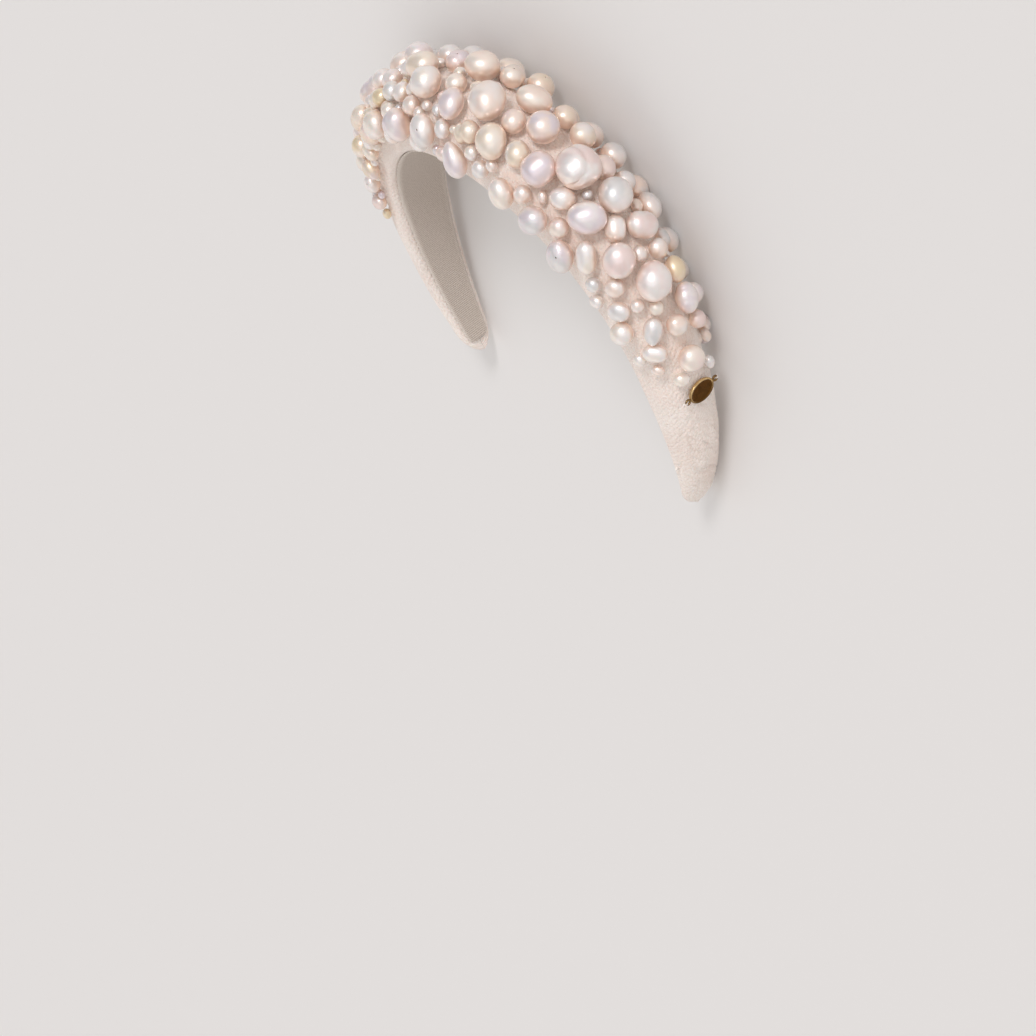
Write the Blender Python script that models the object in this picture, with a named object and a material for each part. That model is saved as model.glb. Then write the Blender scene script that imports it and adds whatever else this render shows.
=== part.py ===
"""Pearl headband: a padded, fabric-covered band crowded with baroque pearls.

The band is drawn flat first, as it is worn: x runs to the wearer's left, y from
the ends up to the crown, z to the wearer's front. A place on its padded face is
given by two numbers, the length along the inner curve from the crown (positive
to the wearer's left) and the angle across the face (positive to the front).
Afterwards the whole headband is laid on its back edge, as it comes to rest.
"""

import math
import random
from dataclasses import dataclass, replace

import bmesh
import bpy
import numpy as np
from mathutils import Matrix, Vector
from mathutils.geometry import intersect_point_tri

MM = 0.001  # everything below is in millimetres until it becomes a mesh

# Inner curve of the band: a crown arc that runs on into a flatter side arc.
CROWN_RADIUS = 71.4
CROWN_HALF_ANGLE = math.radians(77.0)
SIDE_RADIUS = 167.4
SIDE_LENGTH = 87.3
HALF_LENGTH = CROWN_RADIUS * CROWN_HALF_ANGLE + SIDE_LENGTH

# Section of the padding: a flat inner face, low sides and a domed outer face.
CROWN_WIDTH, TIP_WIDTH, WIDTH_POWER = 35.0, 13.5, 1.44
CROWN_HEIGHT, TIP_HEIGHT, HEIGHT_POWER = 23.4, 3.9, 2.6
SIDE_SHARE = 0.32  # of the height, where the sides end and the dome starts
EDGE_ROUNDING = 2.2  # of the inner edges
TIP_ROUNDING = 13.0  # length over which an end closes
TIP_FLATNESS = 0.45  # of the dome's height, what is left of it at the very end

# Lining strip on the inner face.
LINING_THICKNESS = 0.8
LINING_MARGIN = 2.6  # from the band's edge to the strip's
LINING_END_MARGIN = 6.0
LINING_TAPER = 2.0  # by which each side of the strip draws in at its ends
LINING_FACETS = 33  # an odd number, so that one lies at the crown

# Pearls.
CLEARANCE = 0.3  # between any two pieces
LARGEST_PEARL = 15.0
PEARL_DEPTH = 0.9  # of its width, how far a pearl stands up
BARE_END = 75.3  # at each end, measured along the inner curve
SEWN_IN = 0.7  # how deep the field pearls sink into the fabric
EDGE_MARGIN = math.radians(2.0)  # of the quarter turn to each edge of the face, kept free of pearls
LOWEST_ACROSS = 90 - math.degrees(EDGE_MARGIN)
FACE_BULGE = 4.0  # by which the face's mean radius exceeds its half width
PUSH = 0.35  # of an overlap, how far a round of settling moves a pearl
NEARLY_CLEAR = 0.005  # overlap at which the settling stops
MAIN_FACETS = (12, 6)  # around a main pearl, and from pole to pole
FIELD_FACETS = (10, 4)
SHOWN_HALF = Vector((0.64, 0.72, 0.28))  # direction in which the charted face looks
CHARTED_FROM = -0.26  # of the half length, from where the chart covers that half of the face

# Tag plate: a flat oval across the band, with a ring at each end.
TAG_ALONG, TAG_ACROSS = 112.0, -2.0
TAG_LENGTH, TAG_WIDTH, TAG_THICKNESS = 11.2, 8.2, 1.1
TAG_RIM, TAG_SUNK = 0.55, 0.35
TAG_RING_RADIUS, TAG_RING_WIRE = 1.25, 0.42
TAG_RING_OVERLAP = 0.35  # how far each ring reaches into the plate's edge
TAG_SLOPE, TAG_RECESS_SLOPE = 0.93, 1.3  # size at the top over size at the bottom
TAG_TURN = math.radians(-3.0)  # of its length from straight across the band


@dataclass
class Pearl:
    """One pearl: where it sits on the face, its size, and how it is turned on it."""

    along: float
    across: float  # degrees
    length: float
    width: float
    turn: float  # degrees, of its length from the band's


# Charts of the pearls. A row holds the place along the band in percent of its half
# length, the angle across it, length and width in percent of the largest pearl's,
# and the turn.
# The biggest ones, each a piece of its own, from the crown to the wearer's left ...
MAIN_PEARLS = [
    (5.5, 10, 97, 90, -50),
    (-1.5, -20, 87, 80, 30),
    (-7, 22, 80, 77, -70),
    (-11.5, 5, 87, 70, 10),
    (-19, -18, 70, 70, 0),
    (0, 28, 80, 63, -60),
    (2, -38, 73, 57, -55),
    (4.5, -62, 67, 67, 0),
    (-12, 67, 80, 77, 15),
    (-4, 65, 80, 63, -60),
    (4.5, 75, 87, 63, -55),
    (10, 35, 83, 73, -50),
    (9, -24, 87, 67, 40),
    (14, -5, 77, 77, 0),
    (18, 25, 80, 77, 85),
    (15.5, 70, 73, 60, -45),
    (17.5, -35, 70, 67, -45),
    (21.5, 0, 100, 93, -40),
    (21.5, -66, 63, 63, 0),
    (22.5, 64, 70, 67, 45),
    (27.5, -12, 83, 80, -40),
    (27.5, 20, 87, 73, 50),
    (29, 70, 80, 63, -40),
    (31.5, 48, 77, 47, -35),
    (31, -62, 70, 57, -35),
    (32.5, -20, 77, 63, 55),
    (34.5, 22, 80, 73, -35),
    (39.5, 5, 90, 83, -30),
    (44.5, -24, 73, 57, -25),
    (52.5, 4, 63, 63, 0),
    # ... and on the wearer's right, where they are as big.
    (-22, 69, 70, 70, 0),
    (-28.5, -26, 83, 77, 20),
    (-33.5, 43, 77, 60, 15),
    (-34.5, 4, 83, 80, 60),
    (-36, -50, 67, 63, -30),
    (-42.5, 26, 63, 60, -40),
    (-43.5, -24, 67, 57, 35),
    (-51.5, 2, 53, 50, 10),
]

# Smaller pearls sewn down between them, fused to the band here.
FIELD_PEARLS = [
    (-36, 78, 53, 40, -80),
    (-33.5, 67, 57, 40, -75),
    (-30.5, 29, 43, 43, 0),
    (-26, 11, 60, 60, 0),
    (-25, 36, 53, 43, 50),
    (-20, 19, 57, 53, 0),
    (-14, -36, 63, 60, 0),
    (-14, 35, 50, 47, -85),
    (-10, -49, 70, 66, 0),
    (-10, 49, 47, 47, 0),
    (-7.5, -20, 67, 60, -70),
    (-2.5, 9, 53, 53, 0),
    (-0.5, 56, 47, 40, -60),
    (5, 44, 67, 57, 35),
    (9.5, 70, 43, 43, 0),
    (10, 8, 60, 57, -50),
    (13, -44, 60, 57, -45),
    (14, 29, 63, 57, -45),
    (18, 58, 43, 43, 0),
    (23, -32, 63, 53, -40),
    (23, 27, 60, 53, 50),
    (26, -53, 50, 50, 0),
    (25.5, 53, 47, 47, 0),
    (30.5, 4, 60, 50, -35),
    (36, -60, 47, 37, -30),
    (36.5, -28, 47, 47, 0),
    (37.5, 43, 47, 43, 55),
    (40.5, -35, 63, 50, -30),
    (41, 55, 53, 47, 60),
    (44.5, 66, 57, 57, 60),
    (46, 31, 67, 50, -30),
    (46, -57, 50, 50, 0),
    (47, 2, 50, 50, 0),
    (49, -35, 43, 43, 0),
    (49.5, 41, 57, 43, 65),
]
FILLER_SIZES = (0.74, 0.62)  # of the largest, tried in turn where the chart leaves the face bare
FILLER_TRIES = 2500
FADE_FROM, FADE = 0.42, 0.4  # of the beaded length, from where the filler shrinks, and how much by its end
SMALLEST = 0.38  # of the largest, for a pearl that is a solid here
SEED = 7

FABRIC = ("blush_silk", "#D9BFB2", 0.75, 0.0)
LINING = ("grey_ribbon", "#B9AEA6", 0.85, 0.0)
NACRE = ("nacre", "#EFE6E1", 0.18, 0.0)
GOLD = ("polished_brass", "#C9A24B", 0.2, 1.0)


# The band's surface


def inner_curve(along):
    """x, y and heading of the inner curve, for lengths along it from the crown."""
    length = np.abs(along)
    crown = np.minimum(length, CROWN_RADIUS * CROWN_HALF_ANGLE)
    side = length - crown
    turn = crown / CROWN_RADIUS
    heading = turn + side / SIDE_RADIUS
    x = CROWN_RADIUS * np.sin(turn) + SIDE_RADIUS * (np.sin(heading) - np.sin(turn))
    y = -CROWN_RADIUS * (1 - np.cos(turn)) - SIDE_RADIUS * (np.cos(turn) - np.cos(heading))
    sign = np.where(np.asarray(along) < 0, -1.0, 1.0)
    return sign * x, y, sign * heading


def section(along):
    """Half width, height and side height of the section there."""
    share = np.minimum(np.abs(along) / HALF_LENGTH, 1.0)
    width = TIP_WIDTH + (CROWN_WIDTH - TIP_WIDTH) * (1 - share**WIDTH_POWER)
    height = TIP_HEIGHT + (CROWN_HEIGHT - TIP_HEIGHT) * (1 - share**HEIGHT_POWER)
    return width / 2, height, SIDE_SHARE * height


def place(along, up, out):
    """Point of the flat band that is `up` above the inner curve and `out` to the front."""
    x, y, heading = inner_curve(along)
    return np.stack(np.broadcast_arrays(x + np.sin(heading) * up, y + np.cos(heading) * up, out), axis=-1)


def face_frame(along, across):
    """Point of the padded face, with its directions along, to the back edge and outwards."""
    along = np.asarray(along, float)
    angle = np.radians(across)
    half, height, side = section(along)
    point = place(along, side + (height - side) * np.cos(angle), half * np.sin(angle))
    _, _, heading = inner_curve(along)
    lift = np.cos(angle) / (height - side)
    lean = np.sin(angle) / half
    size = np.hypot(lift, lean)
    lift, lean = lift / size, lean / size
    out = np.stack([np.sin(heading) * lift, np.cos(heading) * lift, lean], axis=-1)
    forward = np.stack([np.cos(heading), -np.sin(heading), np.zeros_like(heading)], axis=-1)
    return point, forward, np.cross(out, forward), out


# Where the pearls go


def from_chart(rows):
    whole, largest = HALF_LENGTH / 100, LARGEST_PEARL / 100
    return [
        Pearl(along * whole, across, length * largest, width * largest, turn)
        for along, across, length, width, turn in rows
    ]


def pearl_axes(pearls):
    """Centres and half-axis vectors (length, width, depth) of pearls, as arrays."""
    along, across, length, width, turn = (
        np.array([getattr(pearl, name) for pearl in pearls], float)
        for name in ("along", "across", "length", "width", "turn")
    )
    point, forward, backward, out = face_frame(along, across)
    cos, sin = np.cos(np.radians(turn))[:, None], np.sin(np.radians(turn))[:, None]
    depth = PEARL_DEPTH * width / 2
    centre = point + out * (depth + CLEARANCE)[:, None]
    axes = np.stack(
        [
            (forward * cos + backward * sin) * (length / 2)[:, None],
            (backward * cos - forward * sin) * (width / 2)[:, None],
            out * depth[:, None],
        ],
        axis=1,
    )
    return centre, axes


def crowding(centre, axes, others, other_axes):
    """How far each pearl reaches into its clearance to each other one, and the way between them."""
    between = others[None] - centre[:, None]
    distance = np.linalg.norm(between, axis=-1)
    way = between / np.maximum(distance, 1e-6)[..., None]
    reach = np.linalg.norm(np.einsum("ikc,ijc->ijk", axes, way), axis=-1)
    other_reach = np.linalg.norm(np.einsum("jkc,ijc->ijk", other_axes, way), axis=-1)
    return reach + other_reach + CLEARANCE - distance, way


def settle(pearls, rounds=120):
    """Nudges charted pearls apart along the face, then trims those that still touch."""
    pearls = list(pearls)
    for _ in range(rounds):
        centre, axes = pearl_axes(pearls)
        excess, way = crowding(centre, axes, centre, axes)
        np.fill_diagonal(excess, -1.0)
        excess = np.clip(excess, 0.0, None)
        if excess.max() < NEARLY_CLEAR:
            break
        push = -(excess[..., None] * way).sum(axis=1) * PUSH
        for i, pearl in enumerate(pearls):
            _, forward, backward, _ = face_frame(pearl.along, pearl.across)
            half, height, _ = section(pearl.along)
            stretch = 1 + height / CROWN_RADIUS
            across = pearl.across - math.degrees(float(push[i] @ backward) / float(half + FACE_BULGE))
            pearls[i] = replace(
                pearl,
                along=pearl.along + float(push[i] @ forward) / stretch,
                across=max(-LOWEST_ACROSS, min(LOWEST_ACROSS, across)),
            )
    while True:
        centre, axes = pearl_axes(pearls)
        excess, _ = crowding(centre, axes, centre, axes)
        np.fill_diagonal(excess, -1.0)
        worst = excess.max(axis=1)
        if worst.max() <= 0.0:
            return pearls
        for i, over in enumerate(worst):
            if over > 0:
                pearls[i] = replace(
                    pearls[i],
                    length=pearls[i].length - over * 0.5 - 0.01,
                    width=pearls[i].width - over * 0.5 - 0.01,
                )


def fill(pearls, sizes, tries, seed):
    """Adds pearls in the gaps of the half of the face that the chart leaves, big ones first."""
    chance = random.Random(seed)
    centre, axes = pearl_axes(pearls)
    beaded = HALF_LENGTH - BARE_END
    added = []
    for size in sizes:
        for _ in range(tries):
            share = chance.uniform(-1, 1)
            along = share * (beaded - size * LARGEST_PEARL / 2)
            across = chance.uniform(-LOWEST_ACROSS, LOWEST_ACROSS)
            faded = size * (1 - FADE * max(0.0, abs(share) - FADE_FROM) / (1 - FADE_FROM))
            length = faded * LARGEST_PEARL
            new = Pearl(along, across, length, length * chance.uniform(0.8, 1.0), chance.uniform(-90, 90))
            _, _, _, out = face_frame(along, across)
            shown = float(out @ np.array(SHOWN_HALF)) > 0.02 and along > CHARTED_FROM * HALF_LENGTH
            if faded < SMALLEST or shown:
                continue
            here, own = pearl_axes([new])
            if crowding(here, own, centre, axes)[0].max() < 0:
                added.append(new)
                centre, axes = np.concatenate([centre, here]), np.concatenate([axes, own])
    return added


# Meshes


def linear(code):
    """An sRGB hex colour as linear RGBA."""
    channels = [int(code[i : i + 2], 16) / 255 for i in (1, 3, 5)]
    return [c / 12.92 if c <= 0.04045 else ((c + 0.055) / 1.055) ** 2.4 for c in channels] + [1.0]


def material(spec):
    name, colour, roughness, metallic = spec
    made = bpy.data.materials.get(name)
    if made is None:
        made = bpy.data.materials.new(name)
        made.use_nodes = True
        shader = made.node_tree.nodes["Principled BSDF"]
        shader.inputs["Base Color"].default_value = linear(colour)
        shader.inputs["Roughness"].default_value = roughness
        shader.inputs["Metallic"].default_value = metallic
    return made


def make_object(name, bm, spec, collection):
    """Turns a bmesh in millimetres into a smooth-shaded object in metres."""
    bmesh.ops.scale(bm, vec=(MM, MM, MM), verts=bm.verts)
    bmesh.ops.recalc_face_normals(bm, faces=bm.faces)
    mesh = bpy.data.meshes.new(name)
    bm.to_mesh(mesh)
    bm.free()
    mesh.materials.append(material(spec))
    mesh.shade_smooth()
    mesh.set_sharp_from_angle(angle=math.radians(40))
    made = bpy.data.objects.new(name, mesh)
    collection.objects.link(made)
    return made


def loft(sections):
    """A closed bmesh through rings of points, with flat ends."""
    bm = bmesh.new()
    rings = [[bm.verts.new(point) for point in ring] for ring in sections]
    for ring, following in zip(rings, rings[1:]):
        for i in range(len(ring)):
            j = (i + 1) % len(ring)
            bm.faces.new((ring[i], ring[j], following[j], following[i]))
    bm.faces.new(rings[0][::-1])
    bm.faces.new(rings[-1])
    return bm


def band_stations():
    """Lengths along the inner curve at which the band has a section, with the share of its width."""
    straight = HALF_LENGTH - TIP_ROUNDING
    steps = 21
    half = [(straight * i / steps, 1.0) for i in range(steps + 1)]
    half += [
        (straight + TIP_ROUNDING * math.sin(angle), math.cos(angle))
        for angle in (math.radians(a) for a in (25, 45, 62, 76, 86))
    ]
    return [(-along, share) for along, share in reversed(half[1:])] + half


def band_section(along, share):
    """The padding's outline: the dome from the front edge to the back, then the flat inner face."""
    half, height, side = section(along)
    half = half * share
    rise = (height - side) * (TIP_FLATNESS + (1 - TIP_FLATNESS) * share)
    rounding = min(EDGE_ROUNDING, half * 0.6, side * 0.9)
    dome = [(half * math.cos(a), side + rise * math.sin(a)) for a in np.linspace(0, math.pi, 13)]
    eighths = (0.0, math.pi / 4, math.pi / 2)
    corner = [(half - rounding * (1 - math.cos(a)), rounding * (1 - math.sin(a))) for a in eighths]
    outline = dome + [(-out, up) for out, up in corner] + corner[::-1]
    return [place(along, up, out) for out, up in outline]


def band_body(collection):
    sections = [band_section(*station) for station in band_stations()]
    return make_object("beaded_band", loft(sections), FABRIC, collection)


def lining_strip(collection):
    """A thin strip of flat facets just inside the band's inner face."""
    reach = HALF_LENGTH - LINING_END_MARGIN
    outer, inner = -CLEARANCE, -CLEARANCE - LINING_THICKNESS
    rings = []
    for i in range(LINING_FACETS + 1):
        along = reach * (2 * i / LINING_FACETS - 1)
        half = section(along)[0] - LINING_MARGIN
        if i in (0, LINING_FACETS):
            half -= LINING_TAPER
        corners = ((half, outer), (-half, outer), (-half, inner), (half, inner))
        rings.append([place(along, up, out) for out, up in corners])
    return make_object("lining", loft(rings), LINING, collection)


def pearl_bmesh(centre, axes, facets, sink=0.0):
    """An oval pearl at its place, its pole outwards."""
    around, rings = facets
    bm = bmesh.new()
    bmesh.ops.create_uvsphere(bm, u_segments=around, v_segments=rings, radius=1.0)
    out = axes[2] / np.linalg.norm(axes[2])
    shape = Matrix([list(axis) for axis in axes]).transposed().to_4x4()
    bmesh.ops.transform(bm, matrix=Matrix.Translation(Vector(centre - out * sink)) @ shape, verts=bm.verts)
    return bm


def solidify_pearls(name, pearls, facets, sink, collection):
    """One mesh of separate closed pearls, to be joined to the band."""
    whole = bmesh.new()
    for centre, axes in zip(*pearl_axes(pearls)):
        single = pearl_bmesh(centre, axes, facets, sink)
        piece = bpy.data.meshes.new("pearl")
        bmesh.ops.recalc_face_normals(single, faces=single.faces)
        single.to_mesh(piece)
        single.free()
        whole.from_mesh(piece)
        bpy.data.meshes.remove(piece)
    made = make_object(name, whole, NACRE, collection)
    made.hide_render = True
    made.display_type = "WIRE"
    return made


def join(target, others, operation="UNION"):
    """Adds a Boolean with each of the other objects, and applies them all."""
    for other in others:
        step = target.modifiers.new(other.name, "BOOLEAN")
        step.operation = operation
        step.solver = "EXACT"
        step.object = other
    graph = bpy.context.evaluated_depsgraph_get()
    mesh = bpy.data.meshes.new_from_object(target.evaluated_get(graph))
    target.modifiers.clear()
    target.data = mesh
    for other in others:
        bpy.data.objects.remove(other)
    mesh.shade_smooth()
    mesh.set_sharp_from_angle(angle=math.radians(40))


def tag_plate(collection, cutters):
    """The oval plate with its sunk face, and the two rings that it is sewn down by."""
    point, forward, backward, out = (Vector(v) for v in face_frame(TAG_ALONG, TAG_ACROSS))
    length_way = (backward * math.cos(TAG_TURN) + forward * math.sin(TAG_TURN)).normalized()
    width_way = out.cross(length_way)
    turn = Matrix((length_way, width_way, out)).transposed().to_4x4()

    def oval(name, length, width, bottom, top, slope, home):
        bm = bmesh.new()
        bmesh.ops.create_cone(bm, cap_ends=True, segments=28, radius1=1.0, radius2=slope, depth=1.0)
        bmesh.ops.scale(bm, vec=(length / 2, width / 2, top - bottom), verts=bm.verts)
        bmesh.ops.translate(bm, vec=(0, 0, (top + bottom) / 2), verts=bm.verts)
        return make_object(name, bm, GOLD, home)

    face_length, face_width = TAG_LENGTH - 3 * TAG_RIM, TAG_WIDTH - 3 * TAG_RIM
    floor, above = TAG_THICKNESS - TAG_SUNK, TAG_THICKNESS + 1
    plate = oval("tag_plate", TAG_LENGTH, TAG_WIDTH, 0, TAG_THICKNESS, TAG_SLOPE, collection)
    sunk = oval("tag_recess", face_length, face_width, floor, above, TAG_RECESS_SLOPE, cutters)
    sunk.hide_render = True
    sunk.display_type = "WIRE"
    rings = []
    ring_place = TAG_LENGTH / 2 + TAG_RING_RADIUS - TAG_RING_OVERLAP
    for side in (-1, 1):
        bpy.ops.mesh.primitive_torus_add(
            major_segments=12,
            minor_segments=6,
            major_radius=TAG_RING_RADIUS * MM,
            minor_radius=TAG_RING_WIRE * MM,
            location=(side * ring_place * MM, 0, TAG_THICKNESS / 2 * MM),
        )
        ring = bpy.context.object
        ring.name = f"tag_ring_{'back' if side < 0 else 'front'}"
        ring.data.materials.append(material(GOLD))
        ring.hide_render = True
        ring.display_type = "WIRE"
        rings.append(ring)
    bpy.context.view_layer.update()
    join(plate, [sunk], "DIFFERENCE")
    join(plate, rings)
    plate.data.transform(Matrix.Translation((point + out * CLEARANCE) * MM) @ turn)
    return plate


# How it lies


def centre_of_mass(objects):
    """Centre of the solids' volume."""
    total, moment = 0.0, Vector()
    for each in objects:
        each.data.calc_loop_triangles()
        points = [vertex.co for vertex in each.data.vertices]
        for triangle in each.data.loop_triangles:
            a, b, c = (points[i] for i in triangle.vertices)
            volume = a.dot(b.cross(c)) / 6
            total += volume
            moment += (a + b + c) * volume / 4
    return moment / total


def resting_turn(objects):
    """The turn that lays the headband on the three points that carry it on its back edge."""
    hull = bmesh.new()
    for each in objects:
        for vertex in each.data.vertices:
            hull.verts.new(vertex.co)
    bmesh.ops.convex_hull(hull, input=hull.verts)
    bmesh.ops.triangulate(hull, faces=hull.faces)
    hull.normal_update()
    middle = centre_of_mass(objects)
    back = Vector((0, 0, -1))
    best = None
    for face in hull.faces:
        corners = [vertex.co for vertex in face.verts]
        if face.normal.dot(back) < 0.8:
            continue
        below = middle - face.normal * (middle - corners[0]).dot(face.normal)
        if intersect_point_tri(below, *corners) and (best is None or face.normal.dot(back) > best.dot(back)):
            best = face.normal.copy()
    hull.free()
    if best is None:
        raise RuntimeError("no side of the hull carries the headband")
    up = -best
    right = Vector((1, 0, 0))
    right = (right - up * right.dot(up)).normalized()
    return Matrix((right, up.cross(right), up)).to_4x4()


def main():
    for each in list(bpy.data.objects):
        bpy.data.objects.remove(each)
    scene = bpy.context.scene
    parts = bpy.data.collections.new("pearl_headband")
    cutters = bpy.data.collections.new("cutters")
    scene.collection.children.link(parts)
    scene.collection.children.link(cutters)

    charted = settle(from_chart(MAIN_PEARLS + FIELD_PEARLS))
    mains, field = charted[: len(MAIN_PEARLS)], charted[len(MAIN_PEARLS) :]
    field += fill(charted, FILLER_SIZES, FILLER_TRIES, SEED)

    band = band_body(parts)
    sink = CLEARANCE + SEWN_IN
    join(band, [solidify_pearls("field_pearls", field, FIELD_FACETS, sink, cutters)])
    objects = [band, lining_strip(parts), tag_plate(parts, cutters)]
    for number, (centre, axes) in enumerate(zip(*pearl_axes(mains)), 1):
        pearl = pearl_bmesh(centre, axes, MAIN_FACETS)
        objects.append(make_object(f"pearl_{number:02d}", pearl, NACRE, parts))

    turn = resting_turn(objects)
    points = np.array([turn @ vertex.co for each in objects for vertex in each.data.vertices])
    low, high = points.min(axis=0), points.max(axis=0)
    lying = bpy.data.objects.new("lying", None)
    lying.location = (-(low[0] + high[0]) / 2, -(low[1] + high[1]) / 2, -low[2])
    lying.rotation_euler = turn.to_euler()
    parts.objects.link(lying)
    for each in objects:
        each.parent = lying
    print(len(mains), "main pearls,", len(field), "field pearls")


main()
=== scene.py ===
"""Looks of the pearl headband: silk crepe, nacre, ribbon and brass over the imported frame.

Sizes are in millimetres in the frame of the flat band, as the CAD source has them: x to
the wearer's left, y up to the crown, z to the wearer's front. `Laying` carries that
frame to the floor, where the headband lies on its back edge.
"""

import sys
import logging
import math
import random
from dataclasses import dataclass, field, replace
from enum import Enum
from typing import Any, Sequence

import bpy
import numpy as np
from mathutils import Matrix, Vector


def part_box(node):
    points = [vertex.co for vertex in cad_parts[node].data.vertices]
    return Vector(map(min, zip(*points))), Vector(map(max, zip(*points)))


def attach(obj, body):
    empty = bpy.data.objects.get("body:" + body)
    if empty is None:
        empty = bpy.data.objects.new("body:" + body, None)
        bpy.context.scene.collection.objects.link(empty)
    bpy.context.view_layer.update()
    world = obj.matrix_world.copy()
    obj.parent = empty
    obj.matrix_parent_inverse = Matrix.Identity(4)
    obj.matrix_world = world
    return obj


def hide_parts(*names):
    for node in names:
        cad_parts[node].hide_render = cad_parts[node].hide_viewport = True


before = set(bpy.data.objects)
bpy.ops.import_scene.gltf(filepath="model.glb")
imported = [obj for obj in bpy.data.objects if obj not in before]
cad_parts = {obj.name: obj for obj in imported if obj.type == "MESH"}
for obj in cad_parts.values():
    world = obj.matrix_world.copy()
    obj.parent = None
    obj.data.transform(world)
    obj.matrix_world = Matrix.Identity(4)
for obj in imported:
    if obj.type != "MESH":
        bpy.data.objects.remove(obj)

Array = np.ndarray
Faces = list[tuple[int, ...]]
Tree = bpy.types.NodeTree
Node = bpy.types.Node
Mesh = bpy.types.Mesh
Object = bpy.types.Object

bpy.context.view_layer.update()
MM = 0.001
BODY = "root"
SHOWN_SIDE = (0.64, 0.72, 0.28)  # about the way to the camera, in the flat band's frame
log = logging.getLogger("headband")


# The band's surface


@dataclass(frozen=True)
class BandShape:
    """The padded band: its inner curve, its section and where the beading ends, in mm."""

    crown_radius: float = 71.4
    crown_half_angle: float = math.radians(77.0)
    side_radius: float = 167.4
    side_length: float = 87.3
    crown_width: float = 35.0
    tip_width: float = 13.5
    width_power: float = 1.44
    crown_height: float = 23.4
    tip_height: float = 3.9
    height_power: float = 2.6
    side_share: float = 0.32
    edge_rounding: float = 2.2
    tip_rounding: float = 13.0
    bare_end: float = 75.3

    @property
    def half_length(self) -> float:
        """Length of the inner curve from the crown to an end."""
        return self.crown_radius * self.crown_half_angle + self.side_length

    def inner_curve(self, along: Array) -> tuple[Array, Array, Array]:
        """Runs the inner curve: a crown arc that goes on into a flatter side arc.

        Args:
            along: Lengths from the crown, positive to the wearer's left.

        Returns:
            x, y and heading there.
        """
        length = np.abs(along)
        crown = np.minimum(length, self.crown_radius * self.crown_half_angle)
        turn = crown / self.crown_radius
        heading = turn + (length - crown) / self.side_radius
        x = self.crown_radius * np.sin(turn) + self.side_radius * (np.sin(heading) - np.sin(turn))
        y = -self.crown_radius * (1 - np.cos(turn)) - self.side_radius * (np.cos(turn) - np.cos(heading))
        sign = np.where(np.asarray(along) < 0, -1.0, 1.0)
        return sign * x, y, sign * heading

    def section(self, along: Array) -> tuple[Array, Array, Array]:
        """Half width, height and side height of the section at these lengths."""
        share = np.minimum(np.abs(along) / self.half_length, 1.0)
        width = self.tip_width + (self.crown_width - self.tip_width) * (1 - share**self.width_power)
        height = self.tip_height + (self.crown_height - self.tip_height) * (1 - share**self.height_power)
        return width / 2, height, self.side_share * height

    def place(self, along: Array, up: Array, out: Array) -> Array:
        """Points `up` above the inner curve and `out` to the front."""
        x, y, heading = self.inner_curve(along)
        return np.stack(np.broadcast_arrays(x + np.sin(heading) * up, y + np.cos(heading) * up, out), axis=-1)

    def face_frame(self, along: Array, across: Array) -> tuple[Array, Array, Array, Array]:
        """Frames the domed face.

        Args:
            along: Lengths from the crown.
            across: Angles over the face in degrees, positive to the front edge.

        Returns:
            The point and its directions forward, to the back edge and outwards.
        """
        along = np.asarray(along, float)
        angle = np.radians(across)
        half, height, side = self.section(along)
        point = self.place(along, side + (height - side) * np.cos(angle), half * np.sin(angle))
        _, _, heading = self.inner_curve(along)
        lift = np.cos(angle) / (height - side)
        lean = np.sin(angle) / half
        size = np.hypot(lift, lean)
        lift, lean = lift / size, lean / size
        out = np.stack([np.sin(heading) * lift, np.cos(heading) * lift, lean], axis=-1)
        forward = np.stack([np.cos(heading), -np.sin(heading), np.zeros_like(heading)], axis=-1)
        return point, forward, np.cross(out, forward), out


BAND = BandShape()


# The pearls' chart


class Tone(Enum):
    """Colours of freshwater nacre, and the painted peach reflection of the silk on the pearls' lower parts,
    as sRGB hex.
    """

    WHITE = "#F2EFEE"
    IVORY = "#F3ECE3"
    PEACH = "#F3E4DA"
    PINK = "#EFDEDB"
    LILAC = "#E5DDE4"
    SILVER = "#E0E1E2"
    CHAMPAGNE = "#EEE1D0"
    GOLDEN = "#EADBBB"
    # not a nacre colour: the painted peach reflection of the silk on each pearl's lower part
    SILK_REFLECTION = "#F7DFCE"


class Form(Enum):
    """Shapes that a freshwater pearl grows into."""

    ROUND = 0
    POTATO = 1
    BAROQUE = 2
    DROP = 3
    RICE = 4
    BUTTON = 5
    DOUBLE = 6
    RINGED = 7
    PITTED = 8


class Drill(Enum):
    """Which way the drill hole runs."""

    ALONG = 0
    UP = 1


@dataclass
class Pearl:
    """One pearl: its place on the face, size in mm, turn in degrees, shape and tones."""

    along: float
    across: float
    length: float
    width: float
    turn: float
    form: Form = Form.POTATO
    body: Tone = Tone.WHITE
    overtone: Tone = Tone.PEACH
    drill: Drill = Drill.ALONG


Row = tuple[Any, ...]
F, T, UP = Form, Tone, Drill.UP

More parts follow.
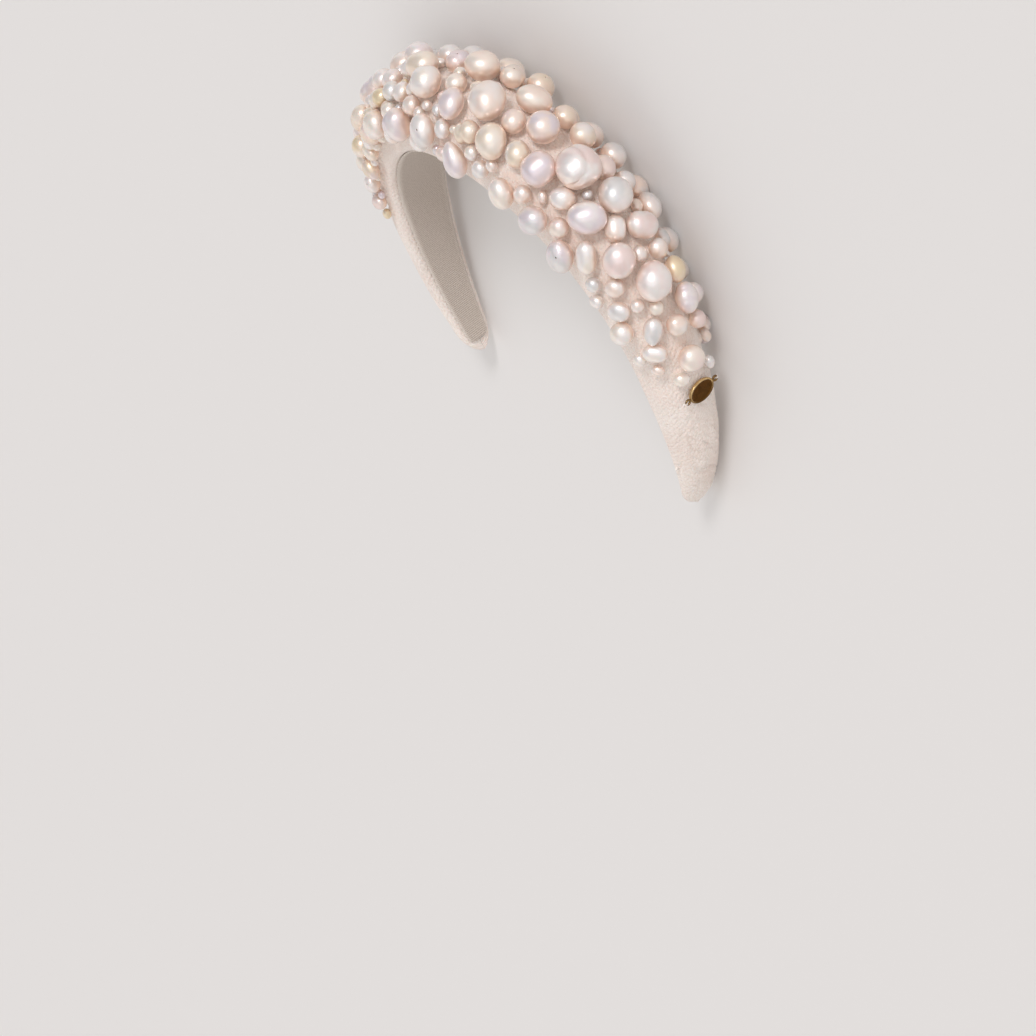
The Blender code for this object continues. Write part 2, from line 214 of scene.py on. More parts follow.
# Place along the band in percent of its half length, angle across it, length and width in
# percent of the largest pearl's, turn, then shape, body and overtone.
MAIN_PEARLS: list[Row] = [
    (5.5, 10, 97, 90, -50, F.POTATO, T.WHITE, T.PEACH),
    (-1.5, -20, 87, 80, 30, F.POTATO, T.IVORY, T.PEACH),
    (-7, 22, 80, 77, -70, F.PITTED, T.IVORY, T.WHITE),
    (-11.5, 5, 87, 70, 10, F.RICE, T.IVORY, T.CHAMPAGNE),
    (-19, -18, 70, 70, 0, F.ROUND, T.WHITE, T.LILAC),
    (0, 28, 80, 63, -60, F.POTATO, T.PEACH, T.LILAC),
    (2, -38, 73, 57, -55, F.RICE, T.IVORY, T.PEACH, UP),
    (4.5, -62, 67, 67, 0, F.ROUND, T.IVORY, T.CHAMPAGNE, UP),
    (-12, 67, 80, 77, 15, F.BAROQUE, T.LILAC, T.WHITE),
    (-4, 65, 80, 63, -60, F.POTATO, T.SILVER, T.WHITE, UP),
    (4.5, 75, 87, 63, -55, F.DROP, T.WHITE, T.LILAC),
    (10, 35, 83, 73, -50, F.POTATO, T.IVORY, T.CHAMPAGNE),
    (9, -24, 87, 67, 40, F.POTATO, T.IVORY, T.PEACH),
    (14, -5, 77, 77, 0, F.ROUND, T.LILAC, T.PEACH),
    (18, 25, 80, 77, 85, F.RICE, T.LILAC, T.PINK),
    (15.5, 70, 73, 60, -45, F.POTATO, T.WHITE, T.IVORY),
    (17.5, -35, 70, 67, -45, F.DROP, T.WHITE, T.CHAMPAGNE),
    (21.5, 0, 100, 93, -40, F.BAROQUE, T.WHITE, T.PINK),
    (21.5, -66, 63, 63, 0, F.ROUND, T.SILVER, T.WHITE),
    (22.5, 64, 70, 67, 45, F.POTATO, T.LILAC, T.SILVER),
    (27.5, -12, 83, 80, -40, F.POTATO, T.SILVER, T.WHITE),
    (27.5, 20, 87, 73, 50, F.POTATO, T.WHITE, T.LILAC),
    (29, 70, 80, 63, -40, F.PITTED, T.SILVER, T.LILAC, UP),
    (31.5, 48, 77, 47, -35, F.RICE, T.IVORY, T.WHITE),
    (31, -62, 70, 57, -35, F.POTATO, T.SILVER, T.WHITE),
    (32.5, -20, 77, 63, 55, F.RICE, T.WHITE, T.PINK),
    (34.5, 22, 80, 73, -35, F.POTATO, T.WHITE, T.PINK),
    (39.5, 5, 90, 83, -30, F.POTATO, T.WHITE, T.PINK),
    (44.5, -24, 73, 57, -25, F.RINGED, T.WHITE, T.LILAC),
    (52.5, 4, 63, 63, 0, F.ROUND, T.IVORY, T.PINK),
    (-22, 69, 70, 70, 0, F.BUTTON, T.WHITE, T.IVORY),
    (-28.5, -26, 83, 77, 20, F.POTATO, T.WHITE, T.PEACH),
    (-33.5, 43, 77, 60, 15, F.RINGED, T.IVORY, T.CHAMPAGNE),
    (-34.5, 4, 83, 80, 60, F.BAROQUE, T.WHITE, T.LILAC),
    (-36, -50, 67, 63, -30, F.POTATO, T.SILVER, T.WHITE),
    (-42.5, 26, 63, 60, -40, F.ROUND, T.WHITE, T.PINK),
    (-43.5, -24, 67, 57, 35, F.RICE, T.PEACH, T.PINK),
    (-51.5, 2, 53, 50, 10, F.ROUND, T.IVORY, T.GOLDEN),
]
FIELD_PEARLS: list[Row] = [
    (-36, 78, 53, 40, -80, F.RICE, T.IVORY, T.CHAMPAGNE),
    (-33.5, 67, 57, 40, -75, F.RICE, T.WHITE, T.IVORY),
    (-30.5, 29, 43, 43, 0, F.ROUND, T.WHITE, T.PEACH),
    (-26, 11, 60, 60, 0, F.ROUND, T.WHITE, T.PEACH),
    (-25, 36, 53, 43, 50, F.RINGED, T.IVORY, T.WHITE),
    (-20, 19, 57, 53, 0, F.RINGED, T.WHITE, T.PINK),
    (-14, -36, 63, 60, 0, F.ROUND, T.SILVER, T.WHITE),
    (-14, 35, 50, 47, -85, F.BUTTON, T.WHITE, T.CHAMPAGNE),
    (-10, -49, 70, 66, 0, F.ROUND, T.SILVER, T.WHITE),
    (-10, 49, 47, 47, 0, F.BUTTON, T.WHITE, T.PEACH),
    (-7.5, -20, 67, 60, -70, F.RINGED, T.PINK, T.LILAC, UP),
    (-2.5, 9, 53, 53, 0, F.ROUND, T.IVORY, T.PEACH),
    (-0.5, 56, 47, 40, -60, F.ROUND, T.WHITE, T.SILVER),
    (5, 44, 67, 57, 35, F.DOUBLE, T.CHAMPAGNE, T.IVORY),
    (9.5, 70, 43, 43, 0, F.ROUND, T.WHITE, T.SILVER),
    (10, 8, 60, 57, -50, F.ROUND, T.LILAC, T.PEACH),
    (13, -44, 60, 57, -45, F.POTATO, T.CHAMPAGNE, T.PEACH),
    (14, 29, 63, 57, -45, F.POTATO, T.SILVER, T.CHAMPAGNE),
    (18, 58, 43, 43, 0, F.ROUND, T.WHITE, T.PEACH),
    (23, -32, 63, 53, -40, F.POTATO, T.PEACH, T.PINK),
    (23, 27, 60, 53, 50, F.POTATO, T.PEACH, T.WHITE),
    (26, -53, 50, 50, 0, F.ROUND, T.SILVER, T.WHITE),
    (25.5, 53, 47, 47, 0, F.ROUND, T.IVORY, T.PINK),
    (30.5, 4, 60, 50, -35, F.RICE, T.WHITE, T.PEACH),
    (36, -60, 47, 37, -30, F.RICE, T.WHITE, T.SILVER),
    (36.5, -28, 47, 47, 0, F.ROUND, T.PEACH, T.WHITE),
    (37.5, 43, 47, 43, 55, F.ROUND, T.WHITE, T.PEACH),
    (40.5, -35, 63, 50, -30, F.POTATO, T.GOLDEN, T.CHAMPAGNE),
    (41, 55, 53, 47, 60, F.BUTTON, T.WHITE, T.SILVER),
    (44.5, 66, 57, 57, 60, F.POTATO, T.IVORY, T.WHITE),
    (46, 31, 67, 50, -30, F.DROP, T.SILVER, T.WHITE),
    (46, -57, 50, 50, 0, F.ROUND, T.LILAC, T.WHITE),
    (47, 2, 50, 50, 0, F.RINGED, T.WHITE, T.PEACH),
    (49, -35, 43, 43, 0, F.ROUND, T.WHITE, T.PINK),
    (49.5, 41, 57, 43, 65, F.RICE, T.WHITE, T.IVORY),
]

# The least pearls: place along in mm, angle across, length and width in mm, turn.
FINE_PEARLS: list[Row] = [
    (-72, 85, 3.7, 3.4, 0, F.ROUND, T.IVORY, T.WHITE),
    (-42, -3, 5, 5, 0, F.ROUND, T.WHITE, T.PEACH),
    (-11, 41, 4, 4, 0, F.ROUND, T.WHITE, T.PEACH),
    (-9, -50, 5, 5, 0, F.ROUND, T.SILVER, T.WHITE),
    (-6, 41, 5, 4, -60, F.ROUND, T.WHITE, T.SILVER),
    (12, 61, 5.5, 5.5, 0, F.ROUND, T.IVORY, T.WHITE),
    (18, 62, 5, 4.5, -50, F.ROUND, T.WHITE, T.PEACH),
    (23.5, -60, 4, 4, 0, F.ROUND, T.WHITE, T.GOLDEN),
    (38, 44, 5, 3.5, -45, F.RICE, T.WHITE, T.PEACH),
    (45.5, 5, 4, 4, 0, F.ROUND, T.WHITE, T.SILVER, UP),
    (55, -45, 5.5, 4.5, -35, F.ROUND, T.IVORY, T.PEACH),
    (65, -3, 6, 5, -35, F.ROUND, T.WHITE, T.PEACH, UP),
    (65, 64, 5.5, 5.5, 0, F.ROUND, T.WHITE, T.SILVER),
    (70, 77, 5.5, 5, 55, F.ROUND, T.IVORY, T.WHITE),
    (70, -50, 3, 2.5, 0, F.ROUND, T.WHITE, T.WHITE),
    (76, 32, 5, 5, 0, F.ROUND, T.WHITE, T.PEACH),
    (78, -17, 3.5, 2.5, -27, F.RICE, T.WHITE, T.PEACH),
    (79, 14, 5.5, 5.5, 0, F.ROUND, T.IVORY, T.PEACH),
    (92, 65, 5, 5, 0, F.ROUND, T.WHITE, T.IVORY),
    (97, 48, 5, 4, 66, F.ROUND, T.WHITE, T.PEACH),
    (99, -58, 5, 4, -17, F.ROUND, T.WHITE, T.PEACH),
    (103, 23, 6, 5, 70, F.RICE, T.WHITE, T.IVORY, UP),
    (105.5, -33, 5, 4, -16, F.ROUND, T.WHITE, T.SILVER, UP),
]


@dataclass
class PearlChart:
    """Where every pearl sits: the charted ones, and seeded ones on the side away from the chart."""

    clearance: float = 0.3
    largest: float = 15.0
    depth_share: float = 0.9
    sewn_in: float = 0.7
    main_sink: float = 0.12  # mm that a main pearl settles into the silk
    fine_sink: float = 0.25  # mm past the clearance for the least ones
    lowest: float = 88.0  # degrees from the top that a pearl may sit at
    settled: float = 0.005  # mm of overlap at which the nudging ends
    push_share: float = 0.35
    arm: float = 4.0  # mm added to the half width where a nudge becomes an angle
    facing: float = 0.02  # cosine past which a place is on the charted side
    filler_sizes: tuple[float, ...] = (0.74, 0.62)
    fine_sizes: tuple[float, ...] = (0.52, 0.44, 0.36, 0.3, 0.25)
    tries: int = 2500
    fade_from: float = 0.42
    fade: float = 0.4
    smallest: float = 0.38
    smallest_fine: float = 0.2
    seed: int = 7
    charted_from: float = -0.26
    fine_charted_from: float = 0.02
    mains: list[Pearl] = field(default_factory=list)
    field_pearls: list[Pearl] = field(default_factory=list)
    fillers: list[Pearl] = field(default_factory=list)
    fine: list[Pearl] = field(default_factory=list)

    def plan(self) -> None:
        """Settles the charted pearls as the CAD source does, then adds the others round them."""
        charted = self.settle([self.from_row(row) for row in MAIN_PEARLS + FIELD_PEARLS])
        self.mains, self.field_pearls = charted[: len(MAIN_PEARLS)], charted[len(MAIN_PEARLS) :]
        self.fillers = self.fill(charted, self.filler_sizes, self.smallest, self.charted_from, self.seed)
        placed = charted + self.fillers
        fine = [Pearl(*row) for row in FINE_PEARLS]
        self.fine = self.settle(fine, fixed=placed, rounds=60)
        least, from_ = self.smallest_fine, self.fine_charted_from
        self.fine += self.fill(placed + self.fine, self.fine_sizes, least, from_, self.seed + 1)
        self.tint(self.fillers + self.fine[len(fine) :])

    def from_row(self, row: Row) -> Pearl:
        """A pearl from a row of shares."""
        along, across, length, width, turn, *looks = row
        along = along / 100 * BAND.half_length
        length, width = length / 100 * self.largest, width / 100 * self.largest
        return Pearl(along, across, length, width, turn, *looks)

    def axes(self, pearls: Sequence[Pearl]) -> tuple[Array, Array]:
        """Places pearls on the face.

        Args:
            pearls: The pearls.

        Returns:
            Their centres, and their half-axis vectors of length, width and depth.
        """
        along, across, length, width, turn = (
            np.array([getattr(pearl, name) for pearl in pearls], float)
            for name in ("along", "across", "length", "width", "turn")
        )
        point, forward, backward, out = BAND.face_frame(along, across)
        cos, sin = np.cos(np.radians(turn))[:, None], np.sin(np.radians(turn))[:, None]
        depth = self.depth_share * width / 2
        centre = point + out * (depth + self.clearance)[:, None]
        axes = np.stack(
            [
                (forward * cos + backward * sin) * (length / 2)[:, None],
                (backward * cos - forward * sin) * (width / 2)[:, None],
                out * depth[:, None],
            ],
            axis=1,
        )
        return centre, axes

    def crowding(self, centre: Array, axes: Array, others: Array, other_axes: Array) -> tuple[Array, Array]:
        """How far each pearl reaches into its clearance to each other one, and the way between them."""
        between = others[None] - centre[:, None]
        distance = np.linalg.norm(between, axis=-1)
        way = between / np.maximum(distance, 1e-6)[..., None]
        reach = np.linalg.norm(np.einsum("ikc,ijc->ijk", axes, way), axis=-1)
        other_reach = np.linalg.norm(np.einsum("jkc,ijc->ijk", other_axes, way), axis=-1)
        return reach + other_reach + self.clearance - distance, way

    def settle(self, pearls: Sequence[Pearl], fixed: Sequence[Pearl] = (), rounds: int = 120) -> list[Pearl]:
        """Nudges pearls apart along the face, then trims those that still touch.

        Args:
            pearls: The pearls that may move.
            fixed: Pearls that stay where they are.
            rounds: The most nudges.

        Returns:
            The settled pearls, without the fixed ones.
        """
        pearls = list(pearls)
        own = range(len(pearls))
        kept_centre, kept_axes = self.axes(fixed) if fixed else (np.empty((0, 3)), np.empty((0, 3, 3)))

        def excesses() -> tuple[Array, Array]:
            """Each moving pearl's excess to every other pearl, and the way to it."""
            centre, axes = self.axes(pearls)
            everyone, their_axes = np.concatenate([centre, kept_centre]), np.concatenate([axes, kept_axes])
            excess, way = self.crowding(centre, axes, everyone, their_axes)
            excess[own, own] = -1.0
            return excess, way

        for _ in range(rounds):
            excess, way = excesses()
            excess = np.clip(excess, 0.0, None)
            if excess.max() < self.settled:
                break
            push = -(excess[..., None] * way).sum(axis=1) * self.push_share
            for i, pearl in enumerate(pearls):
                _, forward, backward, _ = BAND.face_frame(pearl.along, pearl.across)
                half, height, _ = BAND.section(pearl.along)
                stretch = 1 + height / BAND.crown_radius
                across = pearl.across - math.degrees(float(push[i] @ backward) / float(half + self.arm))
                pearls[i] = replace(
                    pearl,
                    along=pearl.along + float(push[i] @ forward) / stretch,
                    across=max(-self.lowest, min(self.lowest, across)),
                )
        while True:
            worst = excesses()[0].max(axis=1)
            if worst.max() <= 0.0:
                return pearls
            for i, over in enumerate(worst):
                if over > 0:
                    less, this = over * 0.5 + 0.01, pearls[i]
                    pearls[i] = replace(this, length=this.length - less, width=this.width - less)

    def fill(
        self, pearls: Sequence[Pearl], sizes: Sequence[float], smallest: float, charted_from: float, seed: int
    ) -> list[Pearl]:
        """Adds pearls in the gaps where the chart leaves the face bare, big ones first.

        Args:
            pearls: The pearls already there.
            sizes: Shares of the largest pearl's size, tried in turn.
            smallest: The least share that is sewn on.
            charted_from: Share of the half length from where the chart covers its half of the face.
            seed: Seed of the places tried.

        Returns:
            The added pearls.
        """
        chance = random.Random(seed)
        centre, axes = self.axes(pearls)
        beaded = BAND.half_length - BAND.bare_end
        side = np.array(SHOWN_SIDE)
        added: list[Pearl] = []
        for size in sizes:
            for _ in range(self.tries):
                share = chance.uniform(-1, 1)
                along = share * (beaded - size * self.largest / 2)
                across = chance.uniform(-self.lowest, self.lowest)
                faded = size * (1 - self.fade * max(0.0, abs(share) - self.fade_from) / (1 - self.fade_from))
                length = faded * self.largest
                new = Pearl(along, across, length, length * chance.uniform(0.8, 1.0), chance.uniform(-90, 90))
                _, _, _, out = BAND.face_frame(along, across)
                shown = float(out @ side) > self.facing and along > charted_from * BAND.half_length
                if faded < smallest or shown:
                    continue
                here, own = self.axes([new])
                if self.crowding(here, own, centre, axes)[0].max() < 0:
                    added.append(new)
                    centre, axes = np.concatenate([centre, here]), np.concatenate([axes, own])
        return added

    def tint(self, pearls: Sequence[Pearl]) -> None:
        """Gives the seeded pearls shapes and tones as mixed as the charted ones'."""
        chance = random.Random(self.seed + 2)
        forms = [F.ROUND, F.ROUND, F.POTATO, F.POTATO, F.RICE, F.BUTTON, F.RINGED, F.DROP]
        bodies = [T.WHITE, T.WHITE, T.IVORY, T.IVORY, T.SILVER, T.PEACH, T.LILAC, T.CHAMPAGNE]
        for pearl in pearls:
            pearl.form = chance.choice(forms)
            pearl.body = chance.choice(bodies)
            pearl.overtone = chance.choice([T.PEACH, T.WHITE, T.PINK, T.LILAC, T.IVORY, T.GOLDEN])
            pearl.drill = chance.choice([Drill.ALONG, Drill.ALONG, Drill.ALONG, UP])


# The way it lies


@dataclass(frozen=True)
class Laying:
    """The turn and shift, in metres, that carry the flat band's frame to the floor."""

    turn: Array
    shift: Array

    @classmethod
    def from_pearls(cls, centres: Array) -> "Laying":
        """Fits the flat centres of the main pearls to the middles of their nodes' boxes.

        Args:
            centres: Centres in the flat frame, in mm, in the nodes' order.

        Returns:
            The rigid move between the two.
        """
        middles = np.array([np.mean(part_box(f"pearl_{i:02d}"), axis=0) for i in range(1, len(centres) + 1)])
        flat = centres * MM
        one, two = flat - flat.mean(axis=0), middles - middles.mean(axis=0)
        left, _, right = np.linalg.svd(one.T @ two)
        flip = np.diag([1.0, 1.0, np.sign(np.linalg.det(right.T @ left.T))])
        turn = right.T @ flip @ left.T
        shift = middles.mean(axis=0) - turn @ flat.mean(axis=0)
        off = np.abs(flat @ turn.T + shift - middles).max() / MM
        log.info("laid on the pearls' nodes to within %.3f mm", off)
        return cls(turn, shift)

    def points(self, flat: Array) -> Array:
        """Points of the flat frame in mm as points on the floor in metres."""
        return np.asarray(flat) * MM @ self.turn.T + self.shift

    def direction(self, flat: Sequence[float]) -> Vector:
        """A direction of the flat frame as one in the scene."""
        return Vector(self.turn @ np.asarray(flat, float))


# Nodes and materials


def linear(code: str) -> tuple[float, float, float, float]:
    """An sRGB hex colour as linear RGBA."""
    channels = [int(code[i : i + 2], 16) / 255 for i in (1, 3, 5)]
    low = [c / 12.92 if c <= 0.04045 else ((c + 0.055) / 1.055) ** 2.4 for c in channels]
    return low[0], low[1], low[2], 1.0


def add(tree: Tree, kind: str, inputs: dict[Any, Any] | None = None, **settings: Any) -> Node:
    """Adds one node.

    Args:
        tree: The tree it goes into.
        kind: The node's type.
        inputs: Values, or sockets to link, by the input's name or number.
        settings: Properties of the node.

    Returns:
        The node.
    """
    node = tree.nodes.new(kind)
    for name, value in settings.items():
        setattr(node, name, value)
    for key, value in (inputs or {}).items():
        if isinstance(value, bpy.types.NodeSocket):
            tree.links.new(value, node.inputs[key])
        else:
            node.inputs[key].default_value = value
    return node


@dataclass(frozen=True)
class Finish:
    """What every finish has: its name and the sockets of its shader that stay the same all over."""

    name: str
    roughness: float
    constants: tuple[tuple[str, Any], ...] = ()

    def material(self) -> bpy.types.Material:
        """The finish's material, made once."""
        made = bpy.data.materials.get(self.name)
        if made is None:
            made = bpy.data.materials.new(self.name)
            made.use_nodes = True
            shader = made.node_tree.nodes["Principled BSDF"]
            shader.inputs["Roughness"].default_value = self.roughness
            for socket, value in self.constants:
                shader.inputs[socket].default_value = value
            self.pattern(made.node_tree, shader)
        return made

    def pattern(self, tree: Tree, shader: Node) -> None:
        """Links the finish's own pattern to the shader."""
        raise NotImplementedError


def spread(tree: Tree, value: Any, low: float, high: float, least: float, most: float) -> Any:
    """A smooth step of a value from `low`..`high` to `least`..`most`, as a socket."""
    node = add(
        tree,
        "ShaderNodeMapRange",
        {"Value": value, "From Min": low, "From Max": high, "To Min": least, "To Max": most},
        interpolation_type="SMOOTHSTEP",
    )
    return node.outputs["Result"]


def mixed(tree: Tree, share: Any, one: Any, two: Any) -> Any:
    """Two colours mixed, as a socket."""
    return add(tree, "ShaderNodeMix", {0: share, 6: one, 7: two}, data_type="RGBA").outputs[2]


@dataclass(frozen=True)
class Nacre(Finish):
    """Freshwater nacre, grown in thin layers and tumble-polished.

    A milky body under a clear, glossy skin: light soaks in a little, the overtone lies in
    soft clouds, and some pearls carry growth rings or pits.
    """

    name: str = "freshwater_nacre"
    roughness: float = 0.36
    constants: tuple[tuple[str, Any], ...] = (
        ("Metallic", 0.5),
        ("IOR", 1.6),
        ("Subsurface Weight", 0.2),
        ("Subsurface Radius", (1.0, 0.62, 0.45)),
        ("Subsurface Scale", 0.0016),
        ("Coat Weight", 0.7),
        ("Coat Roughness", 0.12),
        ("Coat IOR", 1.6),
        ("Coat Tint", (1.0, 0.96, 0.93, 1.0)),
        ("Sheen Weight", 0.6),
        ("Sheen Roughness", 0.25),
        ("Sheen Tint", (1.0, 0.88, 0.8, 1.0)),
    )
    cloud: float = 7.5  # mm across an overtone cloud
    ring: float = 0.7  # mm between growth rings
    pit: float = 1.3  # mm between pits
    # painted shade inside the drill hole
    hole_shade: str = "#A09085"

    def pattern(self, tree: Tree, shader: Node) -> None:
        """Clouds of overtone, growth rings and pits, and the painted shade inside the drill hole."""
        place = add(tree, "ShaderNodeTexCoord").outputs["Object"]
        read = {
            name: add(tree, "ShaderNodeAttribute", attribute_name=name).outputs
            for name in ("body", "overtone", "grain", "marks", "hole")
        }
        cloud = add(
            tree,
            "ShaderNodeTexNoise",
            {"Vector": place, "Scale": 1 / (self.cloud * MM), "Detail": 2.0, "Roughness": 0.45},
        )
        share = spread(tree, cloud.outputs["Fac"], 0.36, 0.64, 0.0, 1.0)
        # body and overtone carry each big pearl's painted peach reflection of the silk on its lower part
        colour = mixed(tree, share, read["body"]["Color"], read["overtone"]["Color"])
        # painted shade inside the drill hole, where the hole attribute is set
        dark = mixed(tree, read["hole"]["Fac"], colour, linear(self.hole_shade))
        tree.links.new(dark, shader.inputs["Base Color"])

        wobble = add(tree, "ShaderNodeTexNoise", {"Vector": place, "Scale": 1 / (3.5 * MM), "Detail": 1.0})
        bend = add(
            tree,
            "ShaderNodeMath",
            {0: wobble.outputs["Fac"], 1: 1.6 * MM, 2: read["grain"]["Fac"]},
            operation="MULTIPLY_ADD",
        )
        row = add(tree, "ShaderNodeCombineXYZ", {"X": bend.outputs[0]})
        rings = add(
            tree,
            "ShaderNodeTexWave",
            {"Vector": row.outputs[0], "Scale": 0.314 / (self.ring * MM)},
            bands_direction="X",
        )
        pits = add(
            tree, "ShaderNodeTexVoronoi", {"Vector": place, "Scale": 1 / (self.pit * MM)}, feature="SMOOTH_F1"
        )
        dents = spread(tree, pits.outputs["Distance"], 0.0, 0.35, -0.7, 0.0)
        marks = add(tree, "ShaderNodeMath", {0: rings.outputs["Fac"], 1: dents}, operation="ADD")
        relief = add(
            tree, "ShaderNodeMath", {0: marks.outputs[0], 1: read["marks"]["Fac"]}, operation="MULTIPLY"
        )
        skin = add(
            tree,
            "ShaderNodeTexNoise",
            {"Vector": place, "Scale": 1 / (3.2 * MM), "Detail": 1.0, "Roughness": 0.4},
        )
        height = add(
            tree,
            "ShaderNodeMath",
            {0: skin.outputs["Fac"], 1: 0.3, 2: relief.outputs[0]},
            operation="MULTIPLY_ADD",
        )
        bump = add(
            tree, "ShaderNodeBump", {"Height": height.outputs[0], "Strength": 0.22, "Distance": 0.12 * MM}
        )
        tree.links.new(bump.outputs["Normal"], shader.inputs["Normal"])
        tree.links.new(spread(tree, skin.outputs["Fac"], 0.3, 0.7, 0.32, 0.4), shader.inputs["Roughness"])


@dataclass(frozen=True)
class SilkCrepe(Finish):
    """Blush silk crepe, woven from hard-twisted yarn that gives it a fine pebbled grain.

    Matt, with a soft pale bloom where it turns away, and painted shade, warmer in tone, in the creases round
    the pearls' feet. The grain of about 0.3 mm is too fine for the render, so it is drawn at 0.9 mm, with a
    painted highlight on its pebbles and painted shade between them.
    """

    name: str = "blush_silk_crepe"
    roughness: float = 0.66
    constants: tuple[tuple[str, Any], ...] = (
        ("Sheen Weight", 0.35),
        ("Sheen Roughness", 0.4),
        ("Sheen Tint", (1.0, 0.93, 0.88, 1.0)),
        ("Subsurface Weight", 0.06),
        ("Subsurface Radius", (1.0, 0.5, 0.35)),
        ("Subsurface Scale", 0.0012),
    )
    colour: str = "#F2E3D9"
    faded: str = "#F6EBE2"
    # painted shade in the creases round the pearls' feet
    painted_crease_shade: str = "#F6E1D3"
    # painted highlight on the grain's pebbles
    painted_grain_highlight: str = "#FFFCF8"
    # painted shade between the grain's pebbles
    painted_grain_shade: str = "#DCC2B2"
    grain: float = 0.9
    yarn: float = 1.2

    def pattern(self, tree: Tree, shader: Node) -> None:
        """Pebbled grain and a trace of the weave, over slow changes of tone, with a painted highlight on the
        pebbles, painted shade between them and painted shade in the creases round the pearls' feet.
        """
        cloth = add(tree, "ShaderNodeAttribute", attribute_name="cloth").outputs["Vector"]
        crease = add(tree, "ShaderNodeAttribute", attribute_name="crease").outputs["Fac"]
        slow = add(tree, "ShaderNodeTexNoise", {"Vector": cloth, "Scale": 1 / (16 * MM), "Detail": 2.0})
        grain = {"Vector": cloth, "Scale": 1 / (self.grain * MM), "Detail": 3.0, "Roughness": 0.6}
        pebbles = add(tree, "ShaderNodeTexNoise", grain)
        yarn = {
            "Vector": cloth,
            "Scale": 0.314 / (self.yarn * MM),
            "Distortion": 4.0,
            "Detail": 2.0,
            "Detail Scale": 1.6,
        }
        weave = add(tree, "ShaderNodeTexWave", yarn, bands_direction="DIAGONAL")
        patch = spread(tree, slow.outputs["Fac"], 0.35, 0.65, 0.0, 1.0)
        tone = mixed(tree, patch, linear(self.colour), linear(self.faded))
        # painted highlight on the pebbles' tops and painted shade in their hollows
        lit = spread(tree, pebbles.outputs["Fac"], 0.5, 0.7, 0.0, 0.45)
        deep = spread(tree, pebbles.outputs["Fac"], 0.32, 0.5, 0.38, 0.0)
        grained = mixed(tree, deep, mixed(tree, lit, tone, linear(self.painted_grain_highlight)), linear(self.painted_grain_shade))
        # painted shade in the creases round the pearls' feet, from the crease attribute
        tree.links.new(mixed(tree, crease, grained, linear(self.painted_crease_shade)), shader.inputs["Base Color"])
        both = add(
            tree,
            "ShaderNodeMath",
            {0: weave.outputs["Fac"], 1: 0.22, 2: pebbles.outputs["Fac"]},
            operation="MULTIPLY_ADD",
        )
        bump = add(tree, "ShaderNodeBump", {"Height": both.outputs[0], "Strength": 0.9, "Distance": 0.6 * MM})
        tree.links.new(bump.outputs["Normal"], shader.inputs["Normal"])
        tree.links.new(spread(tree, pebbles.outputs["Fac"], 0.3, 0.7, 0.58, 0.74), shader.inputs["Roughness"])


@dataclass(frozen=True)
class Grosgrain(Finish):
    """Greige grosgrain ribbon: a fine warp over thick weft ribs that run across it."""

    name: str = "greige_grosgrain"
    roughness: float = 0.72
    constants: tuple[tuple[str, Any], ...] = (
        ("Sheen Weight", 0.2),
        ("Sheen Roughness", 0.45),
        ("Sheen Tint", (1.0, 0.96, 0.92, 1.0)),
    )
    colour: str = "#CFC2B6"
    shaded: str = "#A89A8E"
    rib: float = 0.9

    def pattern(self, tree: Tree, shader: Node) -> None:
        """Ribs across the ribbon, with the warp's fine lines along it."""
        cloth = add(tree, "ShaderNodeAttribute", attribute_name="cloth").outputs["Vector"]
        edge = add(tree, "ShaderNodeAttribute", attribute_name="selvedge").outputs["Fac"]
        ribs = add(
            tree,
            "ShaderNodeTexWave",
            {"Vector": cloth, "Scale": 0.314 / (self.rib * MM), "Distortion": 0.5},
            bands_direction="X",
        )
        warp = add(tree, "ShaderNodeTexNoise", {"Vector": cloth, "Scale": 1 / (0.7 * MM), "Detail": 2.0})
        tone = mixed(tree, ribs.outputs["Fac"], linear(self.shaded), linear(self.colour))
        worn = mixed(tree, spread(tree, warp.outputs["Fac"], 0.3, 0.7, 0.0, 0.35), tone, linear("#E2D8CE"))
        tree.links.new(mixed(tree, edge, worn, linear("#DED3C8")), shader.inputs["Base Color"])
        both = add(
            tree,
            "ShaderNodeMath",
            {0: warp.outputs["Fac"], 1: 0.3, 2: ribs.outputs["Fac"]},
            operation="MULTIPLY_ADD",
        )
        bump = add(tree, "ShaderNodeBump", {"Height": both.outputs[0], "Strength": 0.7, "Distance": 0.2 * MM})
        tree.links.new(bump.outputs["Normal"], shader.inputs["Normal"])


